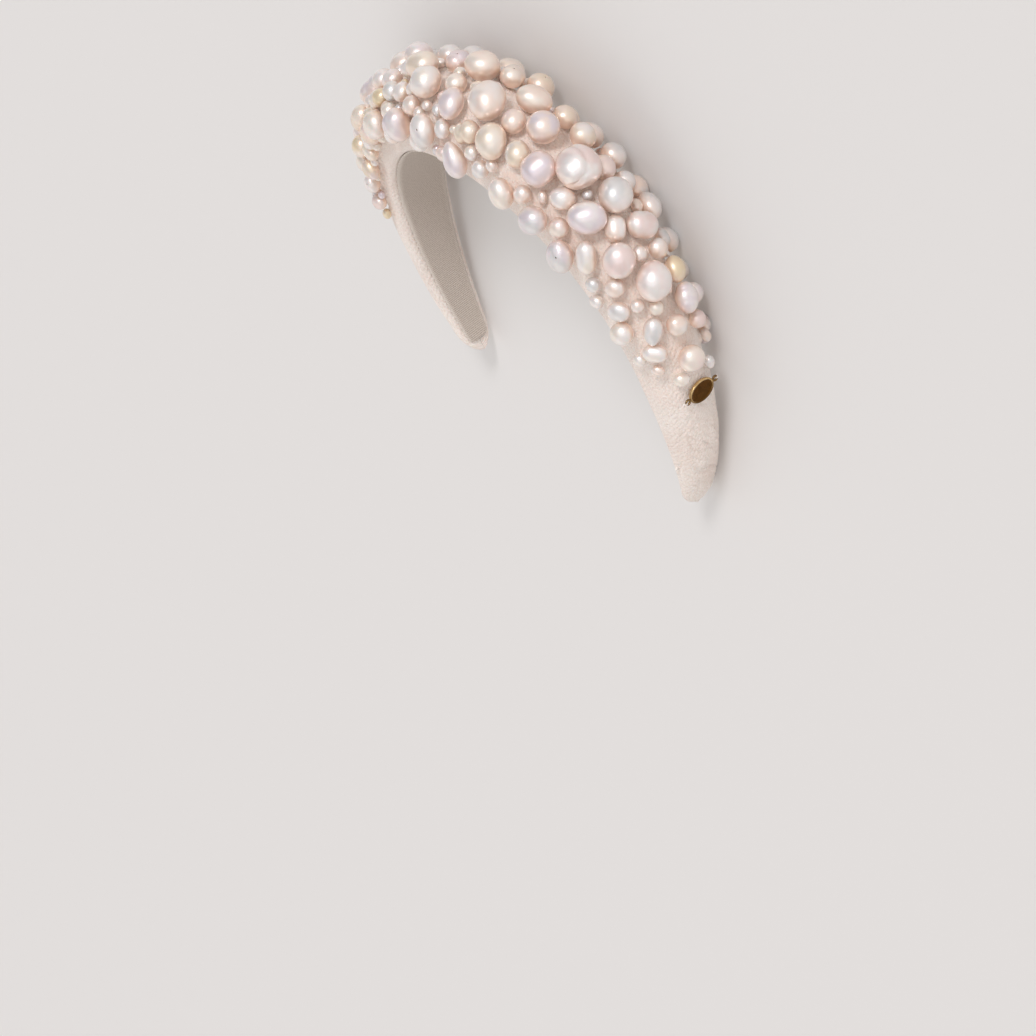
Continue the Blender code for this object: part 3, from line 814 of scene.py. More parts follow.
@dataclass(frozen=True)
class Brass(Finish):
    """Cast brass, buffed: warm reflections, slightly dulled by handling."""

    name: str = "buffed_brass"
    roughness: float = 0.2
    constants: tuple[tuple[str, Any], ...] = (("Metallic", 1.0),)
    colour: str = "#E3B765"
    dulled: str = "#B98A3E"
    # painted dark reflection, on one side of the plate and on its rings
    dark_reflection_colour: str = "#5A3C18"
    polish: tuple[float, float] = (0.14, 0.32)

    def pattern(self, tree: Tree, shader: Node) -> None:
        """Dulled patches, scratches of the buff too fine to be single lines, and a painted dark reflection on
        one side of the plate and on its rings.
        """
        place = add(tree, "ShaderNodeTexCoord").outputs["Object"]
        patch = add(tree, "ShaderNodeTexNoise", {"Vector": place, "Scale": 1 / (2.2 * MM), "Detail": 3.0})
        fine = add(tree, "ShaderNodeTexNoise", {"Vector": place, "Scale": 1 / (0.4 * MM), "Detail": 2.0})
        tone = mixed(
            tree,
            spread(tree, patch.outputs["Fac"], 0.4, 0.75, 0.0, 0.8),
            linear(self.colour),
            linear(self.dulled),
        )
        # painted dark reflection, where the attribute is set
        painted_dark_reflection = add(tree, "ShaderNodeAttribute", attribute_name="painted_dark_reflection").outputs["Fac"]
        tree.links.new(mixed(tree, painted_dark_reflection, tone, linear(self.dark_reflection_colour)), shader.inputs["Base Color"])
        tree.links.new(spread(tree, patch.outputs["Fac"], 0.3, 0.7, *self.polish), shader.inputs["Roughness"])
        bump = add(
            tree, "ShaderNodeBump", {"Height": fine.outputs["Fac"], "Strength": 0.15, "Distance": 0.03 * MM}
        )
        tree.links.new(bump.outputs["Normal"], shader.inputs["Normal"])


@dataclass(frozen=True)
class Thread(Finish):
    """Pale silk sewing thread, twisted from two plies: a soft gloss broken by the twist."""

    name: str = "silk_thread"
    roughness: float = 0.5
    constants: tuple[tuple[str, Any], ...] = (
        ("Sheen Weight", 0.3),
        ("Sheen Roughness", 0.4),
        ("Sheen Tint", (1.0, 0.97, 0.94, 1.0)),
    )
    colour: str = "#FDFAF6"
    shaded: str = "#ECE1D7"
    twist: float = 0.5

    def pattern(self, tree: Tree, shader: Node) -> None:
        """The plies' slanting light and dark."""
        place = add(tree, "ShaderNodeTexCoord").outputs["Object"]
        plies = add(
            tree,
            "ShaderNodeTexWave",
            {"Vector": place, "Scale": 0.314 / (self.twist * MM), "Distortion": 1.0},
            bands_direction="DIAGONAL",
        )
        tree.links.new(
            mixed(tree, plies.outputs["Fac"], linear(self.shaded), linear(self.colour)),
            shader.inputs["Base Color"],
        )
        bump = add(
            tree, "ShaderNodeBump", {"Height": plies.outputs["Fac"], "Strength": 0.5, "Distance": 0.08 * MM}
        )
        tree.links.new(bump.outputs["Normal"], shader.inputs["Normal"])


@dataclass(frozen=True)
class StudioFloor(Finish):
    """A pale painted studio floor, rolled on: matt and nearly even."""

    name: str = "painted_floor"
    roughness: float = 0.85
    colour: str = "#E3E1DF"

    def pattern(self, tree: Tree, shader: Node) -> None:
        """The roller's faint stipple."""
        place = add(tree, "ShaderNodeTexCoord").outputs["Object"]
        stipple = add(tree, "ShaderNodeTexNoise", {"Vector": place, "Scale": 1 / (4 * MM), "Detail": 2.0})
        shader.inputs["Base Color"].default_value = linear(self.colour)
        bump = add(
            tree, "ShaderNodeBump", {"Height": stipple.outputs["Fac"], "Strength": 0.05, "Distance": 0.1 * MM}
        )
        tree.links.new(bump.outputs["Normal"], shader.inputs["Normal"])


NACRE = Nacre()
CREPE = SilkCrepe()
RIBBON = Grosgrain()
BRASS = Brass(colour="#E4C48E", dulled="#B8905A")
PLATE_FACE = Brass(name="browned_brass", colour="#5E3D1B", dulled="#432A10", polish=(0.22, 0.36))
THREAD = Thread()
FLOOR = StudioFloor()


# Meshes


ATTRIBUTE_SLOTS = {"FLOAT": "value", "FLOAT_VECTOR": "vector", "FLOAT_COLOR": "color"}


def give(mesh: Mesh, name: str, kind: str, values: Array) -> None:
    """Stores one value for each point of a mesh under a name."""
    made = mesh.attributes.new(name, kind, "POINT")
    made.data.foreach_set(ATTRIBUTE_SLOTS[kind], np.ascontiguousarray(values, np.float32).ravel())


def mesh_piece(
    name: str,
    points: Array,
    faces: Sequence[Sequence[int]],
    finishes: Sequence[Finish],
    attributes: dict[str, tuple[str, Array]] | None = None,
) -> Object:
    """Makes a smooth-shaded piece of the headband.

    Args:
        name: The piece's name.
        points: Its points on the floor, in metres.
        faces: Its faces, as rows of point numbers.
        finishes: Its finishes, in the order of its material slots.
        attributes: Values for each point, by name, with their kind.

    Returns:
        The object, riding on the one body.
    """
    mesh = bpy.data.meshes.new(name)
    resting = np.array(points)
    resting[:, 2] = np.maximum(resting[:, 2], 0.0)
    mesh.from_pydata(resting.tolist(), [], faces)
    for key, (kind, values) in (attributes or {}).items():
        give(mesh, key, kind, values)
    for finish in finishes:
        mesh.materials.append(finish.material())
    mesh.shade_smooth()
    return settle_piece(bpy.data.objects.new(name, mesh))


def settle_piece(made: Object) -> Object:
    """Links a piece, and sets its body."""
    if made.name not in bpy.context.scene.collection.objects:
        bpy.context.scene.collection.objects.link(made)
    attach(made, BODY)
    log.info("%s: %d faces", made.name, len(made.data.polygons))
    return made


def grid_faces(rows: int, columns: int, start: int = 0) -> Faces:
    """Quads between rows of points that close on themselves."""
    faces = []
    for row in range(rows - 1):
        for column in range(columns):
            right = (column + 1) % columns
            here, above = start + row * columns, start + (row + 1) * columns
            faces.append((here + column, here + right, above + right, above + column))
    return faces


@dataclass(frozen=True)
class Ripple:
    """A smooth random field over directions: a sum of waves, the same for the same seed."""

    seed: int
    waves: int = 9
    pace: float = 2.4

    def __call__(self, where: Array) -> Array:
        """Values from about -1 to 1 at rows of coordinates."""
        chance = np.random.default_rng(self.seed)
        total = np.zeros(len(where))
        for i in range(self.waves):
            way = chance.normal(size=3)
            way *= self.pace * (0.6 + 0.25 * i) / np.linalg.norm(way)
            total += np.sin(where @ way + chance.uniform(0, 2 * math.pi)) / (1 + 0.35 * i)
        return total / 2.6


@dataclass
class PearlMaker:
    """Shapes single pearls in mesh code: a skin round the drill hole, worked by the pearl's form."""

    segments: int = 44
    rings: int = 26
    hole_radius: float = 0.28
    hole_depth: float = 0.8
    plump: float = 1.015
    silk_reflection_top: float = 0.7  # height in half depths below which the painted peach reflection of the silk begins
    silk_reflection_reach: float = 1.1
    silk_reflection_share: float = 0.9
    lumps: dict[Form, float] = field(
        default_factory=lambda: {
            F.ROUND: 0.012,
            F.POTATO: 0.06,
            F.BAROQUE: 0.14,
            F.DROP: 0.025,
            F.RICE: 0.025,
            F.BUTTON: 0.015,
            F.DOUBLE: 0.02,
            F.RINGED: 0.02,
            F.PITTED: 0.05,
        }
    )

    def skin(self, radius: float) -> tuple[Array, Array, Array, Faces]:
        """A sphere of directions round its pole, where the hole is.

        Args:
            radius: The pearl's mean radius in mm.

        Returns:
            Directions, the share of the hole's depth at each, its painted shade, and faces.
        """
        mouth = self.hole_radius / radius
        angles = [mouth * s for s in (0.55, 0.9, 1.0, 1.18)]
        angles += list(np.linspace(mouth * 1.6, math.pi, self.rings + 1)[:-1])
        depth = [1.0, 1.0, 0.85, 0.1, 0.0] + [0.0] * (self.rings + 1)
        # painted shade inside the drill hole, fading out at its mouth
        dark = [1.0, 1.0, 0.9, 0.25, 0.0] + [0.0] * (self.rings + 1)
        turn = np.arange(self.segments) * 2 * math.pi / self.segments
        circle = np.stack([np.cos(turn), np.sin(turn), np.ones_like(turn)], axis=-1)
        rows = [circle * (np.sin(angle), np.sin(angle), np.cos(angle)) for angle in angles]
        way = np.concatenate([np.array([[0, 0, 1.0]]), *rows, np.array([[0, 0, -1.0]])])
        counts = [1] + [self.segments] * len(angles) + [1]
        faces: Faces = [tuple(f[::-1]) for f in grid_faces(len(angles), self.segments, 1)]
        last, end = 1 + (len(angles) - 1) * self.segments, len(way) - 1
        for i in range(self.segments):
            j = (i + 1) % self.segments
            faces += [(0, 1 + i, 1 + j), (end, last + j, last + i)]
        return way, np.repeat(depth, counts), np.repeat(dark, counts), faces

    def shape(self, unit: Array, pearl: Pearl, seed: int) -> Array:
        """Works a unit sphere into the pearl's form, in shares of its half axes.

        Args:
            unit: Directions, as length, width and depth.
            pearl: The pearl.
            seed: Seed of its lumps.

        Returns:
            Points in the same axes.
        """
        chance = random.Random(seed)
        made = unit * (self.plump + self.lumps[pearl.form] * Ripple(seed)(unit))[:, None]
        run = unit[:, 0]
        girth = np.ones(len(unit))
        if pearl.form is F.DROP:
            girth -= 0.3 * np.clip(0.5 + 0.5 * run * chance.choice((-1, 1)), 0, 1) ** 1.6
        elif pearl.form is F.RICE:
            girth += 0.1 * (1 - run**2) * run**2 * 4 - 0.02
        elif pearl.form is F.DOUBLE:
            girth -= 0.24 * np.exp(-(((run + 0.15) / 0.2) ** 2))
        elif pearl.form is F.RINGED:
            for _ in range(4):
                girth -= 0.045 * np.exp(-(((run - chance.uniform(-0.75, 0.75)) / 0.06) ** 2))
        made[:, 1:] *= girth[:, None]
        if pearl.form is F.BAROQUE:
            made[:, 1] *= 1 + 0.14 * run
            for depth, width, reach in ((0.1, 0.15, 0.42), (0.05, 0.11, 0.7), (0.03, 0.08, 0.2)):
                lobe = np.array([chance.uniform(-1, 1), chance.uniform(-1, 1), chance.uniform(0.1, 0.8)])
                off = unit @ (lobe / np.linalg.norm(lobe)) - reach
                made *= (1 - depth * np.exp(-((off / width) ** 2)) * np.clip(unit[:, 2] + 0.7, 0, 1))[:, None]
        if pearl.form is F.PITTED:
            for _ in range(7):
                spot = np.array([chance.gauss(0, 1), chance.gauss(0, 1), abs(chance.gauss(0, 1))])
                spot /= np.linalg.norm(spot)
                made *= (1 - 0.035 * np.exp(-(1 - unit @ spot) / 0.02))[:, None]
        if pearl.form is F.BUTTON:
            made[:, 2] = np.where(made[:, 2] > 0, made[:, 2] * 0.86, made[:, 2])
        return made

    def points(
        self, centre: Array, axes: Array, pearl: Pearl, seed: int
    ) -> tuple[Array, Faces, dict[str, Array]]:
        """Makes one pearl in the flat frame.

        Args:
            centre: Its centre in mm.
            axes: Its half-axis vectors.
            pearl: Its form, tones and drilling.
            seed: Seed of its lumps.

        Returns:
            Points in mm, faces, and the values that the nacre reads.
        """
        sizes = np.linalg.norm(axes, axis=1)
        basis = axes / sizes[:, None]
        radius = float(sizes.mean())
        way, sink, dark, faces = self.skin(radius)
        if pearl.drill is Drill.UP:
            pole = basis[2] + np.array(SHOWN_SIDE) * 0.9
            pole = basis @ (pole / np.linalg.norm(pole))
        else:
            away = -1.0 if basis[0] @ np.array(SHOWN_SIDE) > 0 else 1.0
            pole = np.array([away * 0.88, 0.0, -0.475])
        side = np.cross(pole, (0.0, 0.0, 1.0) if abs(pole[2]) < 0.9 else (0.0, 1.0, 0.0))
        side /= np.linalg.norm(side)
        unit = way @ np.stack([side, np.cross(pole, side), pole])
        made = self.shape(unit, pearl, seed)
        made -= pole * (sink * self.hole_depth / radius)[:, None]
        points = centre + made @ axes
        seeds = random.Random(seed)
        marks = {F.RINGED: 0.8, F.PITTED: 0.7, F.BAROQUE: 0.2, F.POTATO: 0.05}.get(pearl.form, 0.0)
        # painted peach reflection of the silk on the pearl's lower part, where it sits on the silk
        silk_reflection = np.clip((self.silk_reflection_top - unit[:, 2:]) / self.silk_reflection_reach, 0, 1) ** 1.15 * self.silk_reflection_share
        blush = np.array(linear(T.SILK_REFLECTION.value))
        return (
            points,
            faces,
            {
                "body": np.array(linear(pearl.body.value)) * (1 - silk_reflection) + blush * silk_reflection,
                "overtone": np.array(linear(pearl.overtone.value)) * (1 - silk_reflection) + blush * silk_reflection,
                "grain": made[:, 0] * sizes[0] * MM + seeds.uniform(0, 1),
                "marks": np.full(len(points), marks),
                "hole": dark,
            },
        )


KINDS = {
    "body": "FLOAT_COLOR",
    "overtone": "FLOAT_COLOR",
    "grain": "FLOAT",
    "marks": "FLOAT",
    "hole": "FLOAT",
}


@dataclass
class Pearls:
    """All the pearls: the big ones singly, the mid-sized in one piece, the least by nodes."""

    chart: PearlChart
    laying: Laying
    maker: PearlMaker = field(default_factory=PearlMaker)
    field_maker: PearlMaker = field(
        default_factory=lambda: PearlMaker(segments=32, rings=18, hole_radius=0.24)
    )
    seed: int = 40

    def build(self) -> None:
        """Makes every pearl piece."""
        for number, pearl in enumerate(self.chart.mains, 1):
            name, seed = f"main_pearl_{number:02d}", self.seed + number
            made = self.sewn(name, [pearl], self.maker, self.chart.main_sink, seed)
            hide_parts(f"pearl_{number:02d}")
        sink = self.chart.clearance + self.chart.sewn_in
        mids = self.chart.field_pearls + self.chart.fillers
        self.sewn("mid_pearls", mids, self.field_maker, sink, self.seed + 100)
        self.scatter()

    def sewn(self, name: str, pearls: Sequence[Pearl], maker: PearlMaker, sink: float, seed: int) -> Object:
        """Makes one piece of one or more pearls.

        Args:
            name: The piece's name.
            pearls: Its pearls.
            maker: What shapes them.
            sink: How deep they settle into the silk, in mm.
            seed: Seed of the first pearl's lumps.

        Returns:
            The piece.
        """
        points: list[Array] = []
        faces: Faces = []
        values: dict[str, list[Array]] = {key: [] for key in KINDS}
        start = 0
        for i, (pearl, centre, axes) in enumerate(zip(pearls, *self.chart.axes(pearls))):
            lowered = centre - axes[2] / np.linalg.norm(axes[2]) * sink
            own, skin, looks = maker.points(lowered, axes, pearl, seed + i)
            points.append(own)
            faces += [tuple(start + corner for corner in face) for face in skin]
            start += len(own)
            for key, value in looks.items():
                values[key].append(value)
        attributes = {key: (KINDS[key], np.concatenate(value)) for key, value in values.items()}
        place = self.laying.points(np.concatenate(points))
        return mesh_piece(name, place, faces, [NACRE], attributes)

    def tree(self) -> Tree:
        """Nodes that put a small lumpy pearl at each point, in its own size, turn and tones."""
        tree = bpy.data.node_groups.new("fine_pearl_scatter", "GeometryNodeTree")
        for name, kind in (
            ("Geometry", "NodeSocketGeometry"),
            ("Segments", "NodeSocketInt"),
            ("Rings", "NodeSocketInt"),
            ("Lump Height", "NodeSocketFloat"),
            ("Lump Width", "NodeSocketFloat"),
            ("Seed", "NodeSocketFloat"),
            ("Nacre", "NodeSocketMaterial"),
        ):
            tree.interface.new_socket(name, in_out="INPUT", socket_type=kind)
        tree.interface.new_socket("Geometry", in_out="OUTPUT", socket_type="NodeSocketGeometry")
        given = add(tree, "NodeGroupInput").outputs
        ball = add(
            tree,
            "GeometryNodeMeshUVSphere",
            {"Segments": given["Segments"], "Rings": given["Rings"], "Radius": 1.0},
        )
        angles = add(tree, "GeometryNodeInputNamedAttribute", {"Name": "angles"}, data_type="FLOAT_VECTOR")
        sizes = add(tree, "GeometryNodeInputNamedAttribute", {"Name": "half_size"}, data_type="FLOAT_VECTOR")
        turned = add(tree, "FunctionNodeEulerToRotation", {0: angles.outputs["Attribute"]})
        placed = add(
            tree,
            "GeometryNodeInstanceOnPoints",
            {
                "Points": given["Geometry"],
                "Instance": ball.outputs["Mesh"],
                "Rotation": turned.outputs[0],
                "Scale": sizes.outputs["Attribute"],
            },
        )
        real = add(tree, "GeometryNodeRealizeInstances", {"Geometry": placed.outputs["Instances"]})
        finer = add(tree, "ShaderNodeMath", {0: 1.0, 1: given["Lump Width"]}, operation="DIVIDE")
        place = add(tree, "GeometryNodeInputPosition")
        lumps = add(
            tree,
            "ShaderNodeTexNoise",
            {"Vector": place.outputs[0], "W": given["Seed"], "Scale": finer.outputs[0], "Detail": 1.0},
            noise_dimensions="4D",
        )
        middle = add(tree, "ShaderNodeMath", {0: lumps.outputs["Fac"], 1: 0.5}, operation="SUBTRACT")
        high = add(
            tree, "ShaderNodeMath", {0: middle.outputs[0], 1: given["Lump Height"]}, operation="MULTIPLY"
        )
        normal = add(tree, "GeometryNodeInputNormal")
        offset = add(
            tree, "ShaderNodeVectorMath", {0: normal.outputs[0], "Scale": high.outputs[0]}, operation="SCALE"
        )
        moved = add(
            tree, "GeometryNodeSetPosition", {"Geometry": real.outputs[0], "Offset": offset.outputs[0]}
        )
        smooth = add(tree, "GeometryNodeSetShadeSmooth", {0: moved.outputs[0]})
        dressed = add(
            tree, "GeometryNodeSetMaterial", {"Geometry": smooth.outputs[0], "Material": given["Nacre"]}
        )
        add(tree, "NodeGroupOutput", {"Geometry": dressed.outputs[0]})
        return tree

    def scatter(self) -> Object:
        """Grows the fine pearls from their points."""
        pearls = self.chart.fine
        centre, axes = self.chart.axes(pearls)
        sizes = np.linalg.norm(axes, axis=2)
        lowered = centre - axes[:, 2] / sizes[:, 2:] * (self.chart.clearance + self.chart.fine_sink)
        carrier = bpy.data.meshes.new("fine_pearl_places")
        carrier.from_pydata(self.laying.points(lowered).tolist(), [], [])
        turned = [self.laying.turn @ (own / size[:, None]).T for own, size in zip(axes, sizes)]
        angles = [list(Matrix(turn.tolist()).to_euler()) for turn in turned]
        give(carrier, "angles", "FLOAT_VECTOR", np.array(angles))
        give(carrier, "half_size", "FLOAT_VECTOR", sizes * MM)
        give(carrier, "body", "FLOAT_COLOR", np.array([linear(pearl.body.value) for pearl in pearls]))
        give(carrier, "overtone", "FLOAT_COLOR", np.array([linear(pearl.overtone.value) for pearl in pearls]))
        return grown(
            "fine_pearls",
            carrier,
            self.tree(),
            {
                "Segments": 18,
                "Rings": 11,
                "Lump Height": 0.4 * MM,
                "Lump Width": 3.5 * MM,
                "Seed": 3.0,
                "Nacre": NACRE.material(),
            },
        )


def grown(name: str, carrier: Mesh, tree: Tree, inputs: dict[str, Any]) -> Object:
    """Runs a node tree on a carrier mesh, and keeps what it makes as a plain mesh.

    Args:
        name: The piece's name.
        carrier: The points or lines that the tree starts from.
        tree: The tree.
        inputs: The tree's inputs, by name.

    Returns:
        The piece.
    """
    holder = bpy.data.objects.new(f"{name}_holder", carrier)
    bpy.context.scene.collection.objects.link(holder)
    step = holder.modifiers.new("nodes", "NODES")
    step.node_group = tree
    for item in tree.interface.items_tree:
        if item.in_out == "INPUT" and item.name in inputs:
            step[item.identifier] = inputs[item.name]
    graph = bpy.context.evaluated_depsgraph_get()
    made = holder.evaluated_get(graph)
    mesh = bpy.data.meshes.new_from_object(made, preserve_all_data_layers=True, depsgraph=graph)
    bpy.data.objects.remove(holder)
    mesh.name = name
    return settle_piece(bpy.data.objects.new(name, mesh))


# The silk cover


@dataclass
class SilkCover:
    """The padded, silk-covered band: it swells between the pearls and hugs each one's foot."""

    chart: PearlChart
    laying: Laying
    stations: int = 690
    tip_stations: int = 18
    dome_points: int = 74
    inner_points: int = 22
    side_points: int = 5
    swell: float = 0.95
    bare_swell: float = 0.25
    softness: float = 0.16
    pucker: float = 0.12
    tip_point: float = 1.12
    bare_from: float = 4.0  # mm before the beading's end where the silk starts to lie flatter
    bare_over: float = 9.0
    slow_swell: float = 0.16
    gather: float = 0.16  # mm of the gathers at the tips
    # strength of the painted shade in the creases at the pearls' feet
    crease_share: float = 0.5
    folds: int = 34
    wrinkles: int = 230
    bulges: tuple[tuple[float, ...], ...] = (
        (127.0, 1.5, 7.0, 3.6, 0.75),
        (143.0, 5.0, 7.0, 2.2, -0.4),
        (158.0, 1.0, 10.0, 5.0, 0.35),
        (118.0, -7.0, 8.0, 3.0, -0.3),
    )
    seed: int = 11

    def runs(self) -> tuple[Array, Array]:
        """Lengths along the band of its sections, and the share of the width there."""
        straight = BAND.half_length - BAND.tip_rounding
        half = np.linspace(0, straight, self.stations // 2)
        angles = np.radians(np.linspace(0, 88.5, self.tip_stations)[1:])
        along = np.concatenate([half, straight + BAND.tip_rounding * np.sin(angles)])
        share = np.concatenate([np.ones_like(half), np.cos(angles)])
        share = share**self.tip_point
        return np.concatenate([-along[:0:-1], along]), np.concatenate([share[:0:-1], share])

    def outline(self, along: Array, share: Array) -> tuple[Array, Array]:
        """The section's outline at each length.

        Args:
            along: Lengths from the crown.
            share: Share of the full width there.

        Returns:
            Points by section and place in it, and how much each is on the face.
        """
        half, height, side = (value[:, None] for value in BAND.section(along))
        share = share[:, None]
        half = half * share
        side = side * (0.5 + 0.5 * share)
        height = side + (height - side) * (0.4 + 0.6 * share)
        round_by = np.minimum(np.minimum(BAND.edge_rounding, half * 0.6), side * 0.9)
        angle = np.radians(np.linspace(90, -90, self.dome_points))[None]
        steps = np.linspace(0, 1, self.side_points + 2)[None, 1:-1]
        corner = np.radians(np.array([15.0, 45.0, 75.0]))[None]
        flat = np.linspace(-1, 1, self.inner_points)[None]
        down = side + (round_by - side) * steps
        bent_out = half - round_by * (1 - np.cos(corner))
        bent_up = round_by * (1 - np.sin(corner))
        dome = side + (height - side) * np.cos(angle)
        wall, inside = half + 0 * down, (half - round_by) * flat
        outs = [half * np.sin(angle), -wall, -bent_out, inside, bent_out[:, ::-1], wall]
        ups = [dome, down, bent_up, 0 * inside, bent_up[:, ::-1], down[:, ::-1]]
        points = BAND.place(along[:, None], np.concatenate(ups, axis=1), np.concatenate(outs, axis=1))
        on_face = np.zeros(points.shape[1])
        on_face[: self.dome_points] = 1
        edge_points = self.side_points + corner.shape[1]
        fade = np.cos(np.linspace(0, math.pi / 2, edge_points + 2)[1:-1])
        on_face[self.dome_points : self.dome_points + edge_points] = fade
        on_face[-edge_points:] = fade[::-1]
        return points, on_face

    def normals(self, points: Array) -> Array:
        """Outward normals of the sections' grid."""
        forward = np.gradient(points, axis=0)
        round_ = np.roll(points, -1, axis=1) - np.roll(points, 1, axis=1)
        out = np.cross(round_, forward)
        size = np.linalg.norm(out, axis=-1, keepdims=True)
        return out / np.maximum(size, 1e-9)

    def hug(self, points: Array, free: Array) -> tuple[Array, Array]:
        """How far the silk stands off the padding.

        Args:
            points: Points of the face, in rows.
            free: How far it would stand with no pearl near.

        Returns:
            The height at each point, and how deep in a crease it is, which sets the painted shade there.
        """
        pearls = self.chart.mains + self.chart.field_pearls + self.chart.fillers + self.chart.fine
        deep = self.chart.clearance + self.chart.sewn_in
        sinks = [self.chart.main_sink] * len(self.chart.mains)
        sinks += [deep] * (len(self.chart.field_pearls) + len(self.chart.fillers))
        sinks += [self.chart.clearance + self.chart.fine_sink] * len(self.chart.fine)
        total = np.exp(-free / self.softness)
        ridges = np.zeros(len(points))
        near = np.zeros(len(points))
        chance = np.random.default_rng(self.seed)
        for centre, axes, sink in zip(*self.chart.axes(pearls), sinks):
            size = np.linalg.norm(axes, axis=1)
            way = axes / size[:, None]
            lowered = centre - way[2] * sink
            twist = chance.uniform(0, 2 * math.pi)
            close = np.flatnonzero(np.abs(points - lowered).max(axis=1) < size.max() * 2.1 + 2)
            if not len(close):
                continue
            local = (points[close] - lowered) @ way.T
            reach = np.hypot(local[:, 0] / size[0], local[:, 1] / size[1])
            foot = -size[2] * np.sqrt(np.clip(1 - reach**2, 0, 1)) - local[:, 2]
            height = np.where(reach < 0.995, np.maximum(foot, -1.1), 9.0)
            total[close] += np.exp(-height / self.softness)
            bearing = np.arctan2(local[:, 1], local[:, 0])
            window = np.exp(-(((reach - 1.12) / 0.28) ** 2)) * (np.abs(local[:, 2]) < size[2] * 1.6)
            ridges[close] += window * (np.cos(9 * bearing + twist) * 0.6 + np.cos(14 * bearing - twist) * 0.4)
            # where the painted crease shade falls, in a ring at the pearl's foot
            beside = np.exp(-(((reach - 0.95) / 0.14) ** 2)) * (np.abs(local[:, 2]) < size[2] * 1.8)
            near[close] = np.maximum(near[close], beside)
        return -self.softness * np.log(total) + self.pucker * ridges, near

    def creases(self, along: Array, around: Array) -> Array:
        """Fine folds of the stretched silk on the bare ends, seeded, in mm."""
        chance = np.random.default_rng(self.seed + 1)
        relief = np.zeros_like(along)
        for side in (-1, 1):
            for _ in range(self.folds):
                middle = side * BAND.half_length * chance.uniform(0.6, 0.99)
                across = chance.uniform(-13, 13)
                slant = chance.normal(0, 0.22)
                long, wide = chance.uniform(5, 15), chance.uniform(0.55, 1.3)
                strength = chance.uniform(0.05, 0.2)
                run, off = along - middle, around - across
                reach = run * math.cos(slant) + off * math.sin(slant)
                off = off * math.cos(slant) - run * math.sin(slant) + 0.03 * reach**2 / long
                shape = np.exp(-((off / wide) ** 2)) - 0.6 * np.exp(-(((off - 1.7 * wide) / wide) ** 2))
                relief += strength * np.exp(-((reach / long) ** 2)) * shape
            for _ in range(self.wrinkles):
                middle = side * BAND.half_length * chance.uniform(0.62, 0.93)
                across = chance.uniform(-8, 8)
                slant = side * chance.normal(0.75, 0.2)
                long, wide = chance.uniform(1.6, 4.2), chance.uniform(0.28, 0.5)
                strength = chance.uniform(0.12, 0.34)
                run, off = along - middle, around - across
                reach = run * math.cos(slant) + off * math.sin(slant)
                off = off * math.cos(slant) - run * math.sin(slant) + 0.05 * reach**2 / long
                relief += strength * np.exp(-((reach / long) ** 2) - (off / wide) ** 2)
        for middle, across, long, wide, height in self.bulges:
            relief += height * np.exp(-(((along - middle) / long) ** 2) - ((around - across) / wide) ** 2)
        return relief

    def build(self) -> Object:
        """Makes the cover.

        Returns:
            The piece, which stands for the band.
        """
        along, share = self.runs()
        points, on_face = self.outline(along, share)
        normals = self.normals(points)
        rows, columns = points.shape[:2]
        step = np.linalg.norm(np.diff(points, axis=1, append=points[:, :1]), axis=-1)
        around = np.cumsum(step, axis=1) - step
        top = self.dome_points // 2
        around = around - around[:, top : top + 1]
        girth = step.sum(axis=1, keepdims=True)
        around = around - girth * (around > girth / 2)  # the cloth's seam lies under the ribbon
        run = np.repeat(along[:, None], columns, axis=1)
        below = columns - (columns - self.dome_points) // 2
        thick = np.linalg.norm(points[:, top] - points[:, below], axis=-1)
        run_out = run * (1 + (thick[:, None] * 0.5) / BAND.crown_radius)
        beaded = BAND.half_length - BAND.bare_end
        bare = np.clip((np.abs(run) - beaded + self.bare_from) / self.bare_over, 0, 1)
        bare = bare * bare * (3 - 2 * bare)
        free = self.swell + (self.bare_swell - self.swell) * bare
        spots = np.stack([run, around, 0 * run], axis=-1).reshape(-1, 3)
        slow = Ripple(self.seed, pace=0.11)(spots).reshape(rows, columns)
        free = free + self.slow_swell * slow
        height, near = self.hug(points.reshape(-1, 3), free.reshape(-1))
        height = height.reshape(rows, columns) + self.creases(run, around) * bare
        end = BAND.half_length - np.abs(run)
        height = height + self.gather * np.exp(-end / 5.0) * np.cos(around * 2.6) * bare
        height = height * on_face[None]
        points = points + normals * height[..., None]
        caps = [points[0].mean(axis=0), points[-1].mean(axis=0)]
        every = np.concatenate([points.reshape(-1, 3), np.array(caps)])
        faces: Faces = list(grid_faces(rows, columns))
        start, last = rows * columns, (rows - 1) * columns
        for i in range(columns):
            j = (i + 1) % columns
            faces += [(start, j, i), (start + 1, last + i, last + j)]
        cloth = np.stack([run_out, around, 0 * run], axis=-1).reshape(-1, 3) * MM
        kept = {
            "cloth": ("FLOAT_VECTOR", np.concatenate([cloth, np.zeros((2, 3))])),
            # crease carries the painted shade at each pearl's foot
            "crease": ("FLOAT", np.concatenate([near * self.crease_share, np.zeros(2)])),
        }
        made = mesh_piece("silk_cover", self.laying.points(every), faces, [CREPE], kept)
        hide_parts("beaded_band")
        return made


# The ribbon inside


